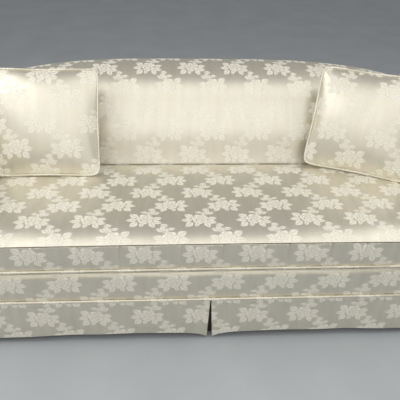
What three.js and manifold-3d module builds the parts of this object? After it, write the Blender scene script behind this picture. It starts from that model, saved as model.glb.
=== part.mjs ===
// A skirted sofa: arched tight back, high rolled arms, one long bench cushion and two throw pillows.
// Millimetres, +Z up, the front faces -Y, the origin is on the floor under the middle of the sofa.
import * as THREE from 'three';
import { mergeVertices } from 'three/addons/utils/BufferGeometryUtils.js';
import Module from 'manifold-3d';

const wasm = await Module();
wasm.setup();

// Driving sizes
const overallWidth = 2134;
const crestHeight = 803;
const crestDrop = 63;
const crestFrontRadius = 200;
const crestRollRadius = 61.1;
const armHeight = 730;
const armRollRadius = 92;
const armWallRecess = 7;
const seatHeight = 452;
const seatDepth = 528;
const cushionThickness = 114;
const borderHeight = 139;
const backRake = 28;
const postRake = 10;

// Clearances and cloth
const touch = 0.3;
const coverThickness = 3;
const coverLap = 5;
const cushionSideGap = 6;
const cushionBackGap = 10;
const skirtReach = 12;
const cutOverrun = 5;

// Finishes, one for each kind of material
const hardwood = { color: 0x9c7448, roughness: 0.7, metalness: 0 };
const springSteel = { color: 0x6f7276, roughness: 0.4, metalness: 0.9 };
const damask = { color: 0xe2dcc8, roughness: 0.55, metalness: 0 };
const foam = { color: 0xefe6b8, roughness: 0.95, metalness: 0 };
const jute = { color: 0xa88b5a, roughness: 0.95, metalness: 0 };
const blackCambric = { color: 0x1d1d1f, roughness: 0.95, metalness: 0 };
const nylon = { color: 0xd8d2bf, roughness: 0.5, metalness: 0 };

const sofa = new THREE.Group();

/** Adds one piece of the sofa with a material of its own. */
function addPiece(name, geometry, finish) {
  const mesh = new THREE.Mesh(geometry, new THREE.MeshStandardMaterial(finish));
  mesh.name = name;
  sofa.add(mesh);
}

/** The two sides of the sofa: the name that a piece starts with and the sign of its X. */
const sides = [['left', -1], ['right', 1]];

// Shared shape helpers

/** The area vector of a ring of points; its length is twice the ring's area. */
function areaVector(ring) {
  const sum = new THREE.Vector3();
  ring.forEach((point, i) => sum.add(point.clone().cross(ring[(i + 1) % ring.length])));
  return sum;
}

/** Triangles that close a ring, all facing along the given direction. */
function capTriangles(ring, facing) {
  const size = areaVector(ring).toArray().map(Math.abs);
  const dropped = size.indexOf(Math.max(...size));
  const flatPoint = (point) => new THREE.Vector2(...point.toArray().filter((_, axis) => axis !== dropped));
  return THREE.ShapeUtils.triangulateShape(ring.map(flatPoint), []).map(([a, b, c]) => {
    const normal = areaVector([ring[a], ring[b], ring[c]]);
    return normal.dot(facing) > 0 ? [a, b, c] : [a, c, b];
  });
}

/** Six times the volume that the triangles enclose. */
function signedVolume(points, triangles) {
  return triangles.reduce(
    (sum, [a, b, c]) => sum + points[a].dot(points[b].clone().cross(points[c])),
    0,
  );
}

/** A geometry from points and triangles, turned so that its faces point out. */
function solidFrom(points, triangles) {
  const outward = signedVolume(points, triangles) > 0;
  const index = triangles.flatMap(([a, b, c]) => (outward ? [a, b, c] : [a, c, b]));
  const geometry = new THREE.BufferGeometry().setFromPoints(points);
  geometry.setIndex(index);
  return geometry;
}

/** A closed solid through rings of equal length, with a cap on the first and the last ring. */
function loft(rings) {
  const count = rings[0].length;
  const points = rings.flat();
  const triangles = [];
  for (let k = 0; k + 1 < rings.length; k += 1) {
    for (let i = 0; i < count; i += 1) {
      const next = (i + 1) % count;
      const [a, b] = [k * count + i, k * count + next];
      const [c, d] = [a + count, b + count];
      const risingIsShorter = points[a].distanceTo(points[d]) < points[b].distanceTo(points[c]);
      triangles.push(...(risingIsShorter ? [[a, b, d], [a, d, c]] : [[a, b, c], [b, d, c]]));
    }
  }
  const lastStart = (rings.length - 1) * count;
  capTriangles(rings[0], areaVector(rings[0]).negate()).forEach((t) => triangles.push(t));
  capTriangles(rings.at(-1), areaVector(rings.at(-1)))
    .forEach((t) => triangles.push(t.map((i) => i + lastStart)));
  return solidFrom(points, triangles);
}

/** A box between two opposite corners. */
function boxBetween(x0, x1, y0, y1, z0, z1) {
  const box = new THREE.BoxGeometry(Math.abs(x1 - x0), Math.abs(y1 - y0), Math.abs(z1 - z0));
  box.translate((x0 + x1) / 2, (y0 + y1) / 2, (z0 + z1) / 2);
  return box;
}

/** Numbers from first to last in equal steps. */
function steps(first, last, count) {
  return Array.from({ length: count + 1 }, (_, i) => first + ((last - first) * i) / count);
}

/** A solid for joining and cutting. */
function toSolid(geometry) {
  const bare = geometry.clone();
  bare.deleteAttribute('normal');
  bare.deleteAttribute('uv');
  const merged = mergeVertices(bare);
  return new wasm.Manifold(new wasm.Mesh({
    numProp: 3,
    vertProperties: new Float32Array(merged.attributes.position.array),
    triVerts: new Uint32Array(merged.index.array),
  }));
}

/** A joined or cut solid as a geometry again. */
function toGeometry(solid) {
  const mesh = solid.getMesh();
  const geometry = new THREE.BufferGeometry();
  geometry.setAttribute('position', new THREE.BufferAttribute(new Float32Array(mesh.vertProperties), 3));
  geometry.setIndex(new THREE.BufferAttribute(new Uint32Array(mesh.triVerts), 1));
  return geometry;
}

/** Joins geometries that overlap into one solid. */
function joined(geometries) {
  const solids = geometries.map(toSolid);
  return toGeometry(solids.slice(1).reduce((sum, solid) => sum.add(solid), solids[0]));
}

// Main planes and lines

const cushionBottom = seatHeight - cushionThickness;
const deckTop = cushionBottom - touch;
const borderBottom = cushionBottom - borderHeight;
const rakeAngle = THREE.MathUtils.degToRad(backRake);
const rearAngle = THREE.MathUtils.degToRad(postRake);

const backFootDepth = seatDepth + cushionBackGap;

/** How deep in the sofa the crest's highest line lies, where a wide arc leads up to it from the raked face. */
function crestTopDepth(crest) {
  const tangentHeight = crest - crestFrontRadius * (1 - Math.sin(rakeAngle));
  const tangentDepth = backFootDepth + (tangentHeight - seatHeight) * Math.tan(rakeAngle);
  return tangentDepth + crestFrontRadius * Math.cos(rakeAngle);
}

/** How far the rear face lies behind the roll's middle at the crest's height, for a roll of radius 1. */
const rollSpread = 1 / Math.cos(rearAngle) + Math.tan(rearAngle);
const crestRearDepth = crestTopDepth(crestHeight) + rollSpread * crestRollRadius;
const armRearDepth = crestRearDepth - (crestHeight - armHeight) * Math.tan(rearAngle);
const overallDepth = skirtReach + armRearDepth;
const frontY = skirtReach - overallDepth / 2;
const cushionBackY = frontY + seatDepth;
const backFootY = frontY + backFootDepth;
const armThickness = 2 * armRollRadius + armWallRecess;
const seatHalfWidth = overallWidth / 2 - armThickness;
const backHalfWidth = seatHalfWidth - touch;

/** The outer face of the outside back at a height. */
function rearFaceY(z) {
  return frontY + armRearDepth - (armHeight - z) * Math.tan(rearAngle);
}

/** A plane inside the outside back's outer face, a thickness further forward. */
function rearInsetY(z, thickness) {
  return rearFaceY(z) - thickness / Math.cos(rearAngle);
}

// The crest falls from its middle towards the arms with a power of the distance
const crestPower = 3.4;
const backStations = 16;
const stationWidth = (2 * backHalfWidth) / backStations;

/** The height of the arched crest across the sofa: a curve, straight between the back's stations. */
function crestAt(x) {
  const curve = (place) => crestHeight
    - crestDrop * Math.abs((place * stationWidth) / seatHalfWidth) ** crestPower;
  const before = Math.floor(x / stationWidth);
  return THREE.MathUtils.lerp(curve(before), curve(before + 1), x / stationWidth - before);
}

/** The roll behind the crest: a circle that touches the crest's highest line and the rear face. */
function rollAt(x) {
  const crest = crestAt(x);
  const y = frontY + crestTopDepth(crest);
  const radius = (rearFaceY(crest) - y) / rollSpread;
  return { radius, y, z: crest - radius, crest };
}

// Seat frame of hardwood boards
const railHeight = 140;
const railThickness = 32;
const springSpace = 53.7;
const railTop = deckTop - springSpace;
const railBottom = railTop - railHeight;
const panelThickness = 10;
const armFrontThickness = 16;
const outsideArmThickness = 8;
const outsideArmInset = 35;
const outsideArmX = overallWidth / 2 - outsideArmInset;
const railOuterX = outsideArmX - outsideArmThickness - touch;
const frontRailY = frontY + armFrontThickness + touch;
const backRailRearY = rearInsetY(railBottom, panelThickness + touch);
const backRailFrontY = backRailRearY - railThickness;
const crossRailHeight = 112;
const crossRailThickness = 28;
const crossRailShare = 0.4;
const crossRailX = crossRailShare * seatHalfWidth;

function addSeatFrame() {
  const innerFrontY = frontRailY + railThickness + touch;
  const innerBackY = backRailFrontY - touch;
  addPiece(
    'front_rail',
    boxBetween(-railOuterX, railOuterX, frontRailY, frontRailY + railThickness, railBottom, railTop),
    hardwood,
  );
  addPiece(
    'back_rail',
    boxBetween(-railOuterX, railOuterX, backRailFrontY, backRailRearY, railBottom, railTop),
    hardwood,
  );
  for (const [name, side] of sides) {
    const [innerX, outerX] = [side * (railOuterX - railThickness), side * railOuterX];
    addPiece(
      `${name}_side_rail`,
      boxBetween(innerX, outerX, innerFrontY, innerBackY, railBottom, railTop),
      hardwood,
    );
    addPiece(
      `${name}_cross_rail`,
      boxBetween(
        side * (crossRailX - crossRailThickness / 2),
        side * (crossRailX + crossRailThickness / 2),
        innerFrontY,
        innerBackY,
        railBottom,
        railBottom + crossRailHeight,
      ),
      hardwood,
    );
  }
}

// Legs under the rails, each with a glide, and the cloth that closes the underside
const dustCoverThickness = 1.7;
const glideHeight = 6;
const glideRadius = 15;
const legTopWidth = 60;
const legFootWidth = 44;
const legInset = 34;
const glideSides = 12;

/** A square ring of points around a centre at a height. */
function squareRing(x, y, z, width) {
  const half = width / 2;
  return [[-half, -half], [half, -half], [half, half], [-half, half]]
    .map(([dx, dy]) => new THREE.Vector3(x + dx, y + dy, z));
}

function addLegs() {
  const legTop = railBottom - dustCoverThickness - 2 * touch;
  const legX = railOuterX - legInset;
  const rows = [['front', frontRailY + legInset], ['back', backRailRearY - legInset]];
  for (const [row, y] of rows) {
    for (const [name, x] of [['left', -legX], ['middle', 0], ['right', legX]]) {
      const foot = squareRing(x, y, glideHeight + touch, legFootWidth);
      addPiece(`${row}_${name}_leg`, loft([foot, squareRing(x, y, legTop, legTopWidth)]), hardwood);
      const glide = new THREE.CylinderGeometry(glideRadius, glideRadius, glideHeight, glideSides);
      glide.rotateX(Math.PI / 2);
      glide.translate(x, y, glideHeight / 2);
      addPiece(`${row}_${name}_glide`, glide, nylon);
    }
  }
}

function addDustCover() {
  const top = railBottom - touch;
  addPiece(
    'dust_cover',
    boxBetween(-railOuterX, railOuterX, frontRailY, backRailRearY, top - dustCoverThickness, top),
    blackCambric,
  );
}

// Springs: nine sinuous wires from the front rail to the back rail, tied across by two wires
const springCount = 9;
const springEndInset = 116;
const springWireRadius = 2;
const springHalfWidth = 24;
const springBends = 12;
const springStepsPerBend = 3;
const springWireSides = 4;
const deckThickness = 28;
const springSeatDepth = 16;
const tieWireShares = [0.3, 0.7];

/** A sinuous spring's centre line: it swings from side to side while it arches over its length. */
class SinuousLine extends THREE.Curve {
  constructor(x, startY, endY, lowZ, highZ) {
    super();
    Object.assign(this, { x, startY, endY, lowZ, highZ });
  }

  getPoint(t) {
    const swing = springHalfWidth * Math.sin(t * springBends * Math.PI);
    const arch = Math.sqrt(Math.sin(t * Math.PI));
    return new THREE.Vector3(
      this.x + swing,
      this.startY + (this.endY - this.startY) * t,
      this.lowZ + (this.highZ - this.lowZ) * arch,
    );
  }
}

/** A wire of a few flat sides along a curve. */
function wireAlong(curve, radius, stepCount) {
  const section = new THREE.Shape(steps(0, springWireSides - 1, springWireSides - 1).map((i) => {
    const turn = ((i + 0.5) * 2 * Math.PI) / springWireSides;
    return new THREE.Vector2(radius * Math.cos(turn), radius * Math.sin(turn));
  }));
  return new THREE.ExtrudeGeometry(section, { steps: stepCount, bevelEnabled: false, extrudePath: curve });
}

function addSprings() {
  const startY = frontRailY + springSeatDepth;
  const endY = backRailRearY - springSeatDepth;
  const lowZ = railTop + touch + springWireRadius;
  const highZ = deckTop - deckThickness - touch - springWireRadius;
  const lastX = backHalfWidth - springEndInset;
  const lines = steps(-lastX, lastX, springCount - 1)
    .map((x) => new SinuousLine(x, startY, endY, lowZ, highZ));
  const wires = lines.map((line) => wireAlong(line, springWireRadius, springBends * springStepsPerBend));
  for (const share of tieWireShares) {
    const { y, z } = lines[0].getPoint(share);
    const reach = lastX + springHalfWidth;
    const half = springWireRadius / 2;
    wires.push(boxBetween(-reach, reach, y - half, y + half, z - half, z + half));
  }
  addPiece('seat_springs', joined(wires), springSteel);
}

// Deck, edge roll and front border
const noseDepth = 103;
const noseRadius = 22;
const noseSteps = 4;
const edgeRollSeat = 13;
const padFootThickness = 80;

/** The line of the front border: up the front, round the nose and back over the deck. */
function borderLine(inset, bottom, depth) {
  const top = deckTop - inset;
  const front = frontY + inset;
  const radius = noseRadius - inset;
  const arc = steps(0, Math.PI / 2, noseSteps).map((turn) => new THREE.Vector2(
    front + radius - radius * Math.cos(turn),
    top - radius + radius * Math.sin(turn),
  ));
  return [new THREE.Vector2(front, bottom), ...arc, new THREE.Vector2(frontY + depth, top)];
}

/** Two equal rings of a section in depth and height, carried across the sofa. */
function acrossSofa(section, halfWidth) {
  return loft([-halfWidth, halfWidth].map((x) => section.map((p) => new THREE.Vector3(x, p.x, p.y))));
}

function addDeck() {
  const coverBottom = borderBottom - coverLap;
  const cover = [
    ...borderLine(0, coverBottom, noseDepth),
    ...borderLine(coverThickness, coverBottom, noseDepth).reverse(),
  ];
  addPiece('front_border_cover', acrossSofa(cover, backHalfWidth), damask);
  const rollBottom = deckTop - deckThickness;
  const seatY = frontRailY + edgeRollSeat;
  const roll = [
    ...borderLine(coverThickness + touch, coverBottom, noseDepth),
    new THREE.Vector2(frontY + noseDepth, rollBottom),
    new THREE.Vector2(seatY, rollBottom),
    new THREE.Vector2(seatY, railTop + touch),
    new THREE.Vector2(frontRailY - touch, railTop + touch),
    new THREE.Vector2(frontRailY - touch, coverBottom),
  ];
  addPiece('front_edge_roll', acrossSofa(roll, backHalfWidth), foam);
  addPiece(
    'deck_pad',
    boxBetween(
      -backHalfWidth,
      backHalfWidth,
      frontY + noseDepth + touch,
      backFootY + padFootThickness,
      deckTop - deckThickness,
      deckTop,
    ),
    foam,
  );
}

// Back: posts, rails, webbing, pad, cover
const crestRailThickness = 28;
const crestRailHeight = 90;
const crestRailRise = 15;
const padThickness = 180;
const webTurnDrop = 49;
const webThickness = 3;
const webSlack = 3;
const webLap = 25;
const webWidth = 50;
const webCount = 8;
const webSpacing = 2 * stationWidth;
const lowerWebShare = 0.46;
const upperWebDrop = 48;
const backPostWidth = 60;
const uprightWidth = 45;
const lowerRailHeight = 60;
const lowerRailThickness = 28;
const webBehindPad = webSlack + webThickness + touch;
const backBulge = 16;
const bulgeShares = [0.25, 0.5, 0.75];
const frontArcSteps = 5;
const rollSteps = 4;

/** Top and bottom of the arched crest rail at a place across the sofa. */
function crestRailAt(x) {
  const top = rollAt(x).z + crestRailRise;
  return { top, bottom: top - crestRailHeight };
}

/** The height where the webbing turns from the pad's plane towards the crest rail. */
function webTurnAt(x) {
  return crestRailAt(x).bottom - webTurnDrop;
}

/** The back of the pad below the webbing's turn: a plane between the pad's two thicknesses. */
function padBackY(z) {
  const turn = webTurnAt(backHalfWidth);
  const frontAtTurn = Math.max(0, turn - seatHeight) * Math.tan(rakeAngle);
  const slope = (frontAtTurn + padThickness - padFootThickness) / (turn - cushionBottom);
  return backFootY + padFootThickness + (z - cushionBottom) * slope;
}

/** The face of the inside back as a line in depth and height, pushed into the pad by an inset. */
function backFaceLine(x, inset) {
  const roll = rollAt(x);
  const inward = new THREE.Vector2(Math.cos(rakeAngle), -Math.sin(rakeAngle));
  const seat = new THREE.Vector2(backFootY, seatHeight);
  const arcMiddle = new THREE.Vector2(roll.y, roll.crest - crestFrontRadius);
  const tangent = arcMiddle.clone().addScaledVector(inward, -crestFrontRadius);
  const bulged = bulgeShares.map((share) => seat.clone()
    .lerp(tangent, share)
    .addScaledVector(inward, inset - backBulge * Math.sin(share * Math.PI)));
  const arcPoints = (middle, radius, turns) => turns.map((turn) => new THREE.Vector2(
    middle.x - (radius - inset) * Math.cos(turn),
    middle.y + (radius - inset) * Math.sin(turn),
  ));
  const rollMiddle = new THREE.Vector2(roll.y, roll.z);
  return [
    new THREE.Vector2(backFootY + inset, cushionBottom),
    new THREE.Vector2(backFootY + inset, seatHeight - inset * Math.tan(rakeAngle / 2)),
    ...bulged,
    ...arcPoints(arcMiddle, crestFrontRadius, steps(rakeAngle, Math.PI / 2, frontArcSteps)),
    ...arcPoints(rollMiddle, roll.radius, steps(Math.PI / 2, Math.PI + rearAngle, rollSteps).slice(1)),
  ];
}

/** The back of the pad from the crest rail's rear face, over the rail and down to the deck. */
function backPadRearLine(x) {
  const rail = crestRailAt(x);
  const roll = rollAt(x);
  const tailZ = roll.z - roll.radius * Math.sin(rearAngle);
  const railTopZ = rail.top + touch;
  const rearIn = panelThickness - touch;
  const frontIn = panelThickness + touch + crestRailThickness + webBehindPad;
  const turnZ = webTurnAt(x);
  return [
    new THREE.Vector2(rearInsetY(tailZ, rearIn), tailZ),
    new THREE.Vector2(rearInsetY(railTopZ, rearIn), railTopZ),
    new THREE.Vector2(rearInsetY(railTopZ, frontIn), railTopZ),
    new THREE.Vector2(rearInsetY(rail.bottom, frontIn), rail.bottom),
    new THREE.Vector2(padBackY(turnZ), turnZ),
    new THREE.Vector2(padBackY(cushionBottom), cushionBottom),
  ];
}

/** Rings of a depth and height section that changes across the sofa. */
function ringsAcross(sectionAt, firstX, lastX, count) {
  return steps(firstX, lastX, count).map((x) => sectionAt(x).map((p) => new THREE.Vector3(x, p.x, p.y)));
}

/** A web strap's line behind the pad, pushed rearwards by an offset, up to the crest rail. */
function webLine(x, offset) {
  const rail = crestRailAt(x);
  const railIn = panelThickness + touch + crestRailThickness + touch + webThickness - offset;
  const lowZ = cushionBottom + touch;
  const turnZ = webTurnAt(x);
  return [
    new THREE.Vector2(padBackY(lowZ) + webSlack + offset, lowZ),
    new THREE.Vector2(padBackY(turnZ) + webSlack + offset, turnZ),
    new THREE.Vector2(rearInsetY(rail.bottom, railIn), rail.bottom),
    new THREE.Vector2(rearInsetY(rail.bottom + webLap, railIn), rail.bottom + webLap),
  ];
}

/** A vertical web strap. */
function webStrap(x) {
  const half = webWidth / 2;
  const sectionAt = (edge) => [...webLine(edge, 0), ...webLine(edge, webThickness).reverse()];
  return loft(ringsAcross(sectionAt, x - half, x + half, 2));
}

/** A level web strap in the plane below the webbing's turn. */
function webCross(z) {
  const half = webWidth / 2;
  const low = [z - half, z + half].map((height) => new THREE.Vector2(padBackY(height) + webSlack, height));
  const rear = low.map((p) => new THREE.Vector2(p.x + webThickness, p.y)).reverse();
  const reach = (webSpacing * (webCount - 1)) / 2 + half;
  return acrossSofa([...low, ...rear], reach);
}

/** A board of the back between two heights, raked along the rear plane. */
function rakedBoard(x0, x1, z0, z1, thickness) {
  const rearIn = panelThickness + touch;
  const section = [
    new THREE.Vector2(rearInsetY(z0, rearIn + thickness), z0),
    new THREE.Vector2(rearInsetY(z0, rearIn), z0),
    new THREE.Vector2(rearInsetY(z1, rearIn), z1),
    new THREE.Vector2(rearInsetY(z1, rearIn + thickness), z1),
  ];
  return loft([x0, x1].map((x) => section.map((p) => new THREE.Vector3(x, p.x, p.y))));
}

/** A back post: raked behind, and reaching forward to the webbing in front. */
function backPost(side) {
  const outerX = backHalfWidth - touch;
  const innerX = outerX - backPostWidth;
  const top = crestRailAt(outerX).bottom - touch;
  const bottom = railTop + touch;
  const turnZ = webTurnAt(outerX);
  const rearIn = panelThickness + touch;
  const section = [
    new THREE.Vector2(padBackY(cushionBottom) + webBehindPad, cushionBottom),
    new THREE.Vector2(padBackY(cushionBottom) + webBehindPad, bottom),
    new THREE.Vector2(rearInsetY(bottom, rearIn), bottom),
    new THREE.Vector2(rearInsetY(top, rearIn), top),
    new THREE.Vector2(rearInsetY(top, rearIn + crestRailThickness), top),
    new THREE.Vector2(padBackY(turnZ) + webBehindPad, turnZ - webLap),
  ];
  return loft([innerX, outerX].map((x) => section.map((p) => new THREE.Vector3(side * x, p.x, p.y))));
}

function addBackFrame() {
  const crestRail = (x) => {
    const { top, bottom } = crestRailAt(x);
    const rearIn = panelThickness + touch;
    const frontIn = rearIn + crestRailThickness;
    return [[rearIn, bottom], [rearIn, top], [frontIn, top], [frontIn, bottom]]
      .map(([inset, z]) => new THREE.Vector2(rearInsetY(z, inset), z));
  };
  const railHalf = backHalfWidth - touch;
  addPiece('crest_rail', loft(ringsAcross(crestRail, -railHalf, railHalf, backStations)), hardwood);
  for (const [name, side] of sides) {
    addPiece(`${name}_back_post`, backPost(side), hardwood);
  }
  const uprightTop = crestRailAt(uprightWidth / 2).bottom - touch;
  addPiece(
    'middle_back_upright',
    rakedBoard(-uprightWidth / 2, uprightWidth / 2, railTop + touch, uprightTop, crestRailThickness),
    hardwood,
  );
  const lowerHalf = railHalf - backPostWidth - touch;
  const lowerTop = deckTop + lowerRailHeight;
  const lowerFrontY = padBackY(lowerTop) + webBehindPad;
  const lowerRearY = lowerFrontY + lowerRailThickness;
  addPiece(
    'lower_back_rail',
    boxBetween(-lowerHalf, lowerHalf, lowerFrontY, lowerRearY, deckTop + touch, lowerTop),
    hardwood,
  );
}

function addBackUpholstery() {
  const lastWebX = (webSpacing * (webCount - 1)) / 2;
  const straps = steps(-lastWebX, lastWebX, webCount - 1).map(webStrap);
  const turnZ = webTurnAt(backHalfWidth);
  const crossHeights = [THREE.MathUtils.lerp(cushionBottom, turnZ, lowerWebShare), turnZ - upperWebDrop];
  addPiece('back_webbing', joined([...straps, ...crossHeights.map(webCross)]), jute);
  const pad = (x) => [...backFaceLine(x, coverThickness + touch), ...backPadRearLine(x)];
  const cover = (x) => [...backFaceLine(x, 0), ...backFaceLine(x, coverThickness).reverse()];
  const wholeWidth = [-backHalfWidth, backHalfWidth, backStations];
  addPiece('inside_back_pad', loft(ringsAcross(pad, ...wholeWidth)), foam);
  addPiece('inside_back_cover', loft(ringsAcross(cover, ...wholeWidth)), damask);
}

// Arms: posts, top rail, pad, covers and front panels
const armRollX = overallWidth / 2 - armRollRadius;
const armRollZ = armHeight - armRollRadius;
const armPadThickness = 25;
const armRollFilling = 32;
const armRailHalfWidth = armRollRadius - armRollFilling;
const armRailHeight = 30;
const armWallShare = 0.62;
const armRollSteps = 14;
const armFrontEdge = 5;
const armFrontRear = armFrontThickness + touch;

/** The angle under the arm's roll where the outside arm meets it. */
const armUnderAngle = Math.acos((outsideArmX - armRollX) / armRollRadius);

/** The inside arm's line across and up: up the wall, over the roll and down to the outside arm. */
function armLine(inset, bottom) {
  const wallX = seatHalfWidth + inset;
  const wallTop = deckTop + (armRollZ - deckTop) * armWallShare;
  const radius = armRollRadius - inset;
  const arc = steps(Math.PI, -armUnderAngle, armRollSteps).map((turn) => new THREE.Vector2(
    armRollX + radius * Math.cos(turn),
    armRollZ + radius * Math.sin(turn),
  ));
  return [new THREE.Vector2(wallX, bottom), new THREE.Vector2(wallX, wallTop), ...arc];
}

/** A solid along an arm: the section runs from a front plane to the raked plane of the back. */
function alongArm(section, side, firstY, rearInset) {
  const front = section.map((p) => new THREE.Vector3(side * p.x, firstY, p.y));
  const rear = section.map((p) => new THREE.Vector3(side * p.x, rearInsetY(p.y, rearInset), p.y));
  return loft([front, rear]);
}

/** Moves each corner of a closed outline towards its inside by a distance. */
function insetOutline(outline, distance) {
  const turn = Math.sign(THREE.ShapeUtils.area(outline));
  return outline.map((point, i) => {
    const before = outline.at(i - 1);
    const after = outline[(i + 1) % outline.length];
    const inward = [point.clone().sub(before), after.clone().sub(point)]
      .map((edge) => edge.normalize())
      .map((edge) => new THREE.Vector2(-edge.y, edge.x).multiplyScalar(turn));
    const middle = inward[0].clone().add(inward[1]).normalize();
    return point.clone().addScaledVector(middle, distance / middle.dot(inward[0]));
  });
}

/** The whole outline of an arm's front, down to the skirt. */
function armOutline() {
  const bottom = borderBottom - coverLap;
  return [...armLine(0, bottom), new THREE.Vector2(outsideArmX, bottom)];
}

function addArmFrame(name, side) {
  const railZ1 = armRollZ;
  const railZ0 = railZ1 - armRailHeight;
  const firstY = frontY + armFrontRear;
  const section = [
    new THREE.Vector2(armRollX - armRailHalfWidth, railZ0),
    new THREE.Vector2(armRollX + armRailHalfWidth, railZ0),
    new THREE.Vector2(armRollX + armRailHalfWidth, railZ1),
    new THREE.Vector2(armRollX - armRailHalfWidth, railZ1),
  ];
  addPiece(`${name}_arm_rail`, alongArm(section, side, firstY, panelThickness + touch), hardwood);
  const postX0 = seatHalfWidth + coverThickness + armPadThickness + 2 * touch;
  const postX1 = railOuterX;
  const [postZ0, postZ1] = [railTop + touch, railZ0 - touch];
  addPiece(
    `${name}_arm_front_post`,
    boxBetween(side * postX0, side * postX1, firstY, firstY + railThickness, postZ0, postZ1),
    hardwood,
  );
  addPiece(
    `${name}_arm_rear_post`,
    rakedBoard(side * postX0, side * postX1, postZ0, postZ1, railThickness),
    hardwood,
  );
}

/** The arm pad's inner line: round the arm's top rail and down the inside wall. */
function armPadInnerLine() {
  const railHalf = armRailHalfWidth + touch;
  const wallBackX = seatHalfWidth + coverThickness + armPadThickness + touch;
  const railBottomZ = armRollZ - armRailHeight;
  return [
    new THREE.Vector2(armRollX + railHalf, railBottomZ),
    new THREE.Vector2(armRollX + railHalf, armRollZ + touch),
    new THREE.Vector2(armRollX - railHalf, armRollZ + touch),
    new THREE.Vector2(armRollX - railHalf, railBottomZ),
    new THREE.Vector2(wallBackX, railBottomZ),
    new THREE.Vector2(wallBackX, cushionBottom),
  ];
}

function addArmUpholstery(name, side) {
  const firstY = frontY + armFrontRear;
  const rearInset = panelThickness + touch;
  const cover = [...armLine(0, cushionBottom), ...armLine(coverThickness, cushionBottom).reverse()];
  addPiece(`${name}_inside_arm_cover`, alongArm(cover, side, firstY, rearInset), damask);
  const pad = [...armLine(coverThickness + touch, cushionBottom), ...armPadInnerLine()];
  addPiece(`${name}_arm_pad`, alongArm(pad, side, firstY, rearInset), foam);
  const panelX = outsideArmX - outsideArmThickness;
  const underDrop = Math.sqrt(armRollRadius ** 2 - (panelX - armRollX) ** 2);
  const panelTop = armRollZ - underDrop - 2 * touch;
  const panelBottom = borderBottom - coverLap;
  const panel = [
    new THREE.Vector2(panelX, panelBottom),
    new THREE.Vector2(outsideArmX, panelBottom),
    new THREE.Vector2(outsideArmX, panelTop),
    new THREE.Vector2(panelX, panelTop),
  ];
  addPiece(`${name}_outside_arm`, alongArm(panel, side, firstY, rearInset), damask);
  const outline = armOutline();
  const soft = insetOutline(outline, armFrontEdge);
  const rings = [[outline, armFrontThickness], [outline, armFrontEdge], [soft, 0]]
    .map(([points, depth]) => points.map((p) => new THREE.Vector3(side * p.x, frontY + depth, p.y)));
  addPiece(`${name}_arm_front`, loft(rings), damask);
}

/** The outside back: its outline follows both arms' rolls and runs under the crest's roll. */
function addOutsideBack() {
  const bottom = borderBottom - coverLap;
  const tail = steps(-backHalfWidth, backHalfWidth, backStations).map((x) => {
    const roll = rollAt(x);
    return new THREE.Vector2(x, roll.z - roll.radius * Math.sin(rearAngle) - 2 * touch);
  });
  const rightArm = armLine(0, bottom).slice(2);
  const right = [...rightArm, new THREE.Vector2(outsideArmX, bottom)];
  const left = right.map((p) => new THREE.Vector2(-p.x, p.y)).reverse();
  const outline = [...left, ...tail, ...right];
  const rings = [panelThickness, 0]
    .map((inset) => outline.map((p) => new THREE.Vector3(p.x, rearInsetY(p.y, inset), p.y)));
  addPiece('outside_back', loft(rings), damask);
}

// Skirt: a welt along its top, cloth that flares to a shaped hem, and underlays behind the pleats
const skirtCloth = 5;
const weltRadius = 4.7;
const hemMiddle = 36;
const hemPleatDip = 24;
const hemPleatRun = 45;
const hemCornerDip = 22;
const hemArchShare = 0.33;
const pleatHalfGapTop = 1.5;
const pleatHalfGapHem = 12;
const skirtWave = 2.5;
const skirtWaveLength = 260;
const skirtSideReach = 9;
const underlayHalfWidth = 90;
const underlayThickness = 3;
const underlayGap = 1.5;
const skirtStations = 14;

/** The hem's height along a run: it dips at its pleat and towards its far corner. */
function hemAt(distance, run) {
  const beyond = Math.max(0, distance / run - hemArchShare) / (1 - hemArchShare);
  return hemMiddle - hemPleatDip * Math.exp(-distance / hemPleatRun) - hemCornerDip * beyond ** 2;
}

/** The skirt's section: outward distance and height, with the welt rolled into its top edge. */
function skirtSection(hem, reach, wave) {
  const top = borderBottom + weltRadius;
  const low = borderBottom - weltRadius;
  const weltOut = touch + 2 * weltRadius;
  const middle = (borderBottom + hem) / 2;
  const middleReach = (weltRadius + reach) / 2 - wave / 2;
  return [
    [touch, top - weltRadius / 2],
    [touch + weltRadius / 2, top],
    [weltOut - weltRadius / 2, top],
    [weltOut, borderBottom],
    [touch + skirtCloth + touch, low],
    [middleReach + skirtCloth / 2, middle],
    [reach - wave, hem],
    [reach - wave - skirtCloth, hem],
    [middleReach - skirtCloth / 2, middle],
    [touch, low],
  ];
}

/** A run of skirt from its first to its last place; place turns distance, reach and height into a point. */
function skirtRun(first, last, reach, hemOf, place) {
  const rings = steps(first, last, skirtStations).map((distance) => {
    const fade = Math.sin((Math.PI * (distance - first)) / (last - first));
    const wave = (skirtWave * fade * (1 + Math.cos((2 * Math.PI * distance) / skirtWaveLength))) / 2;
    return skirtSection(hemOf(distance), reach, wave).map(([out, z]) => place(distance, out, z));
  });
  return loft(rings);
}

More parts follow.
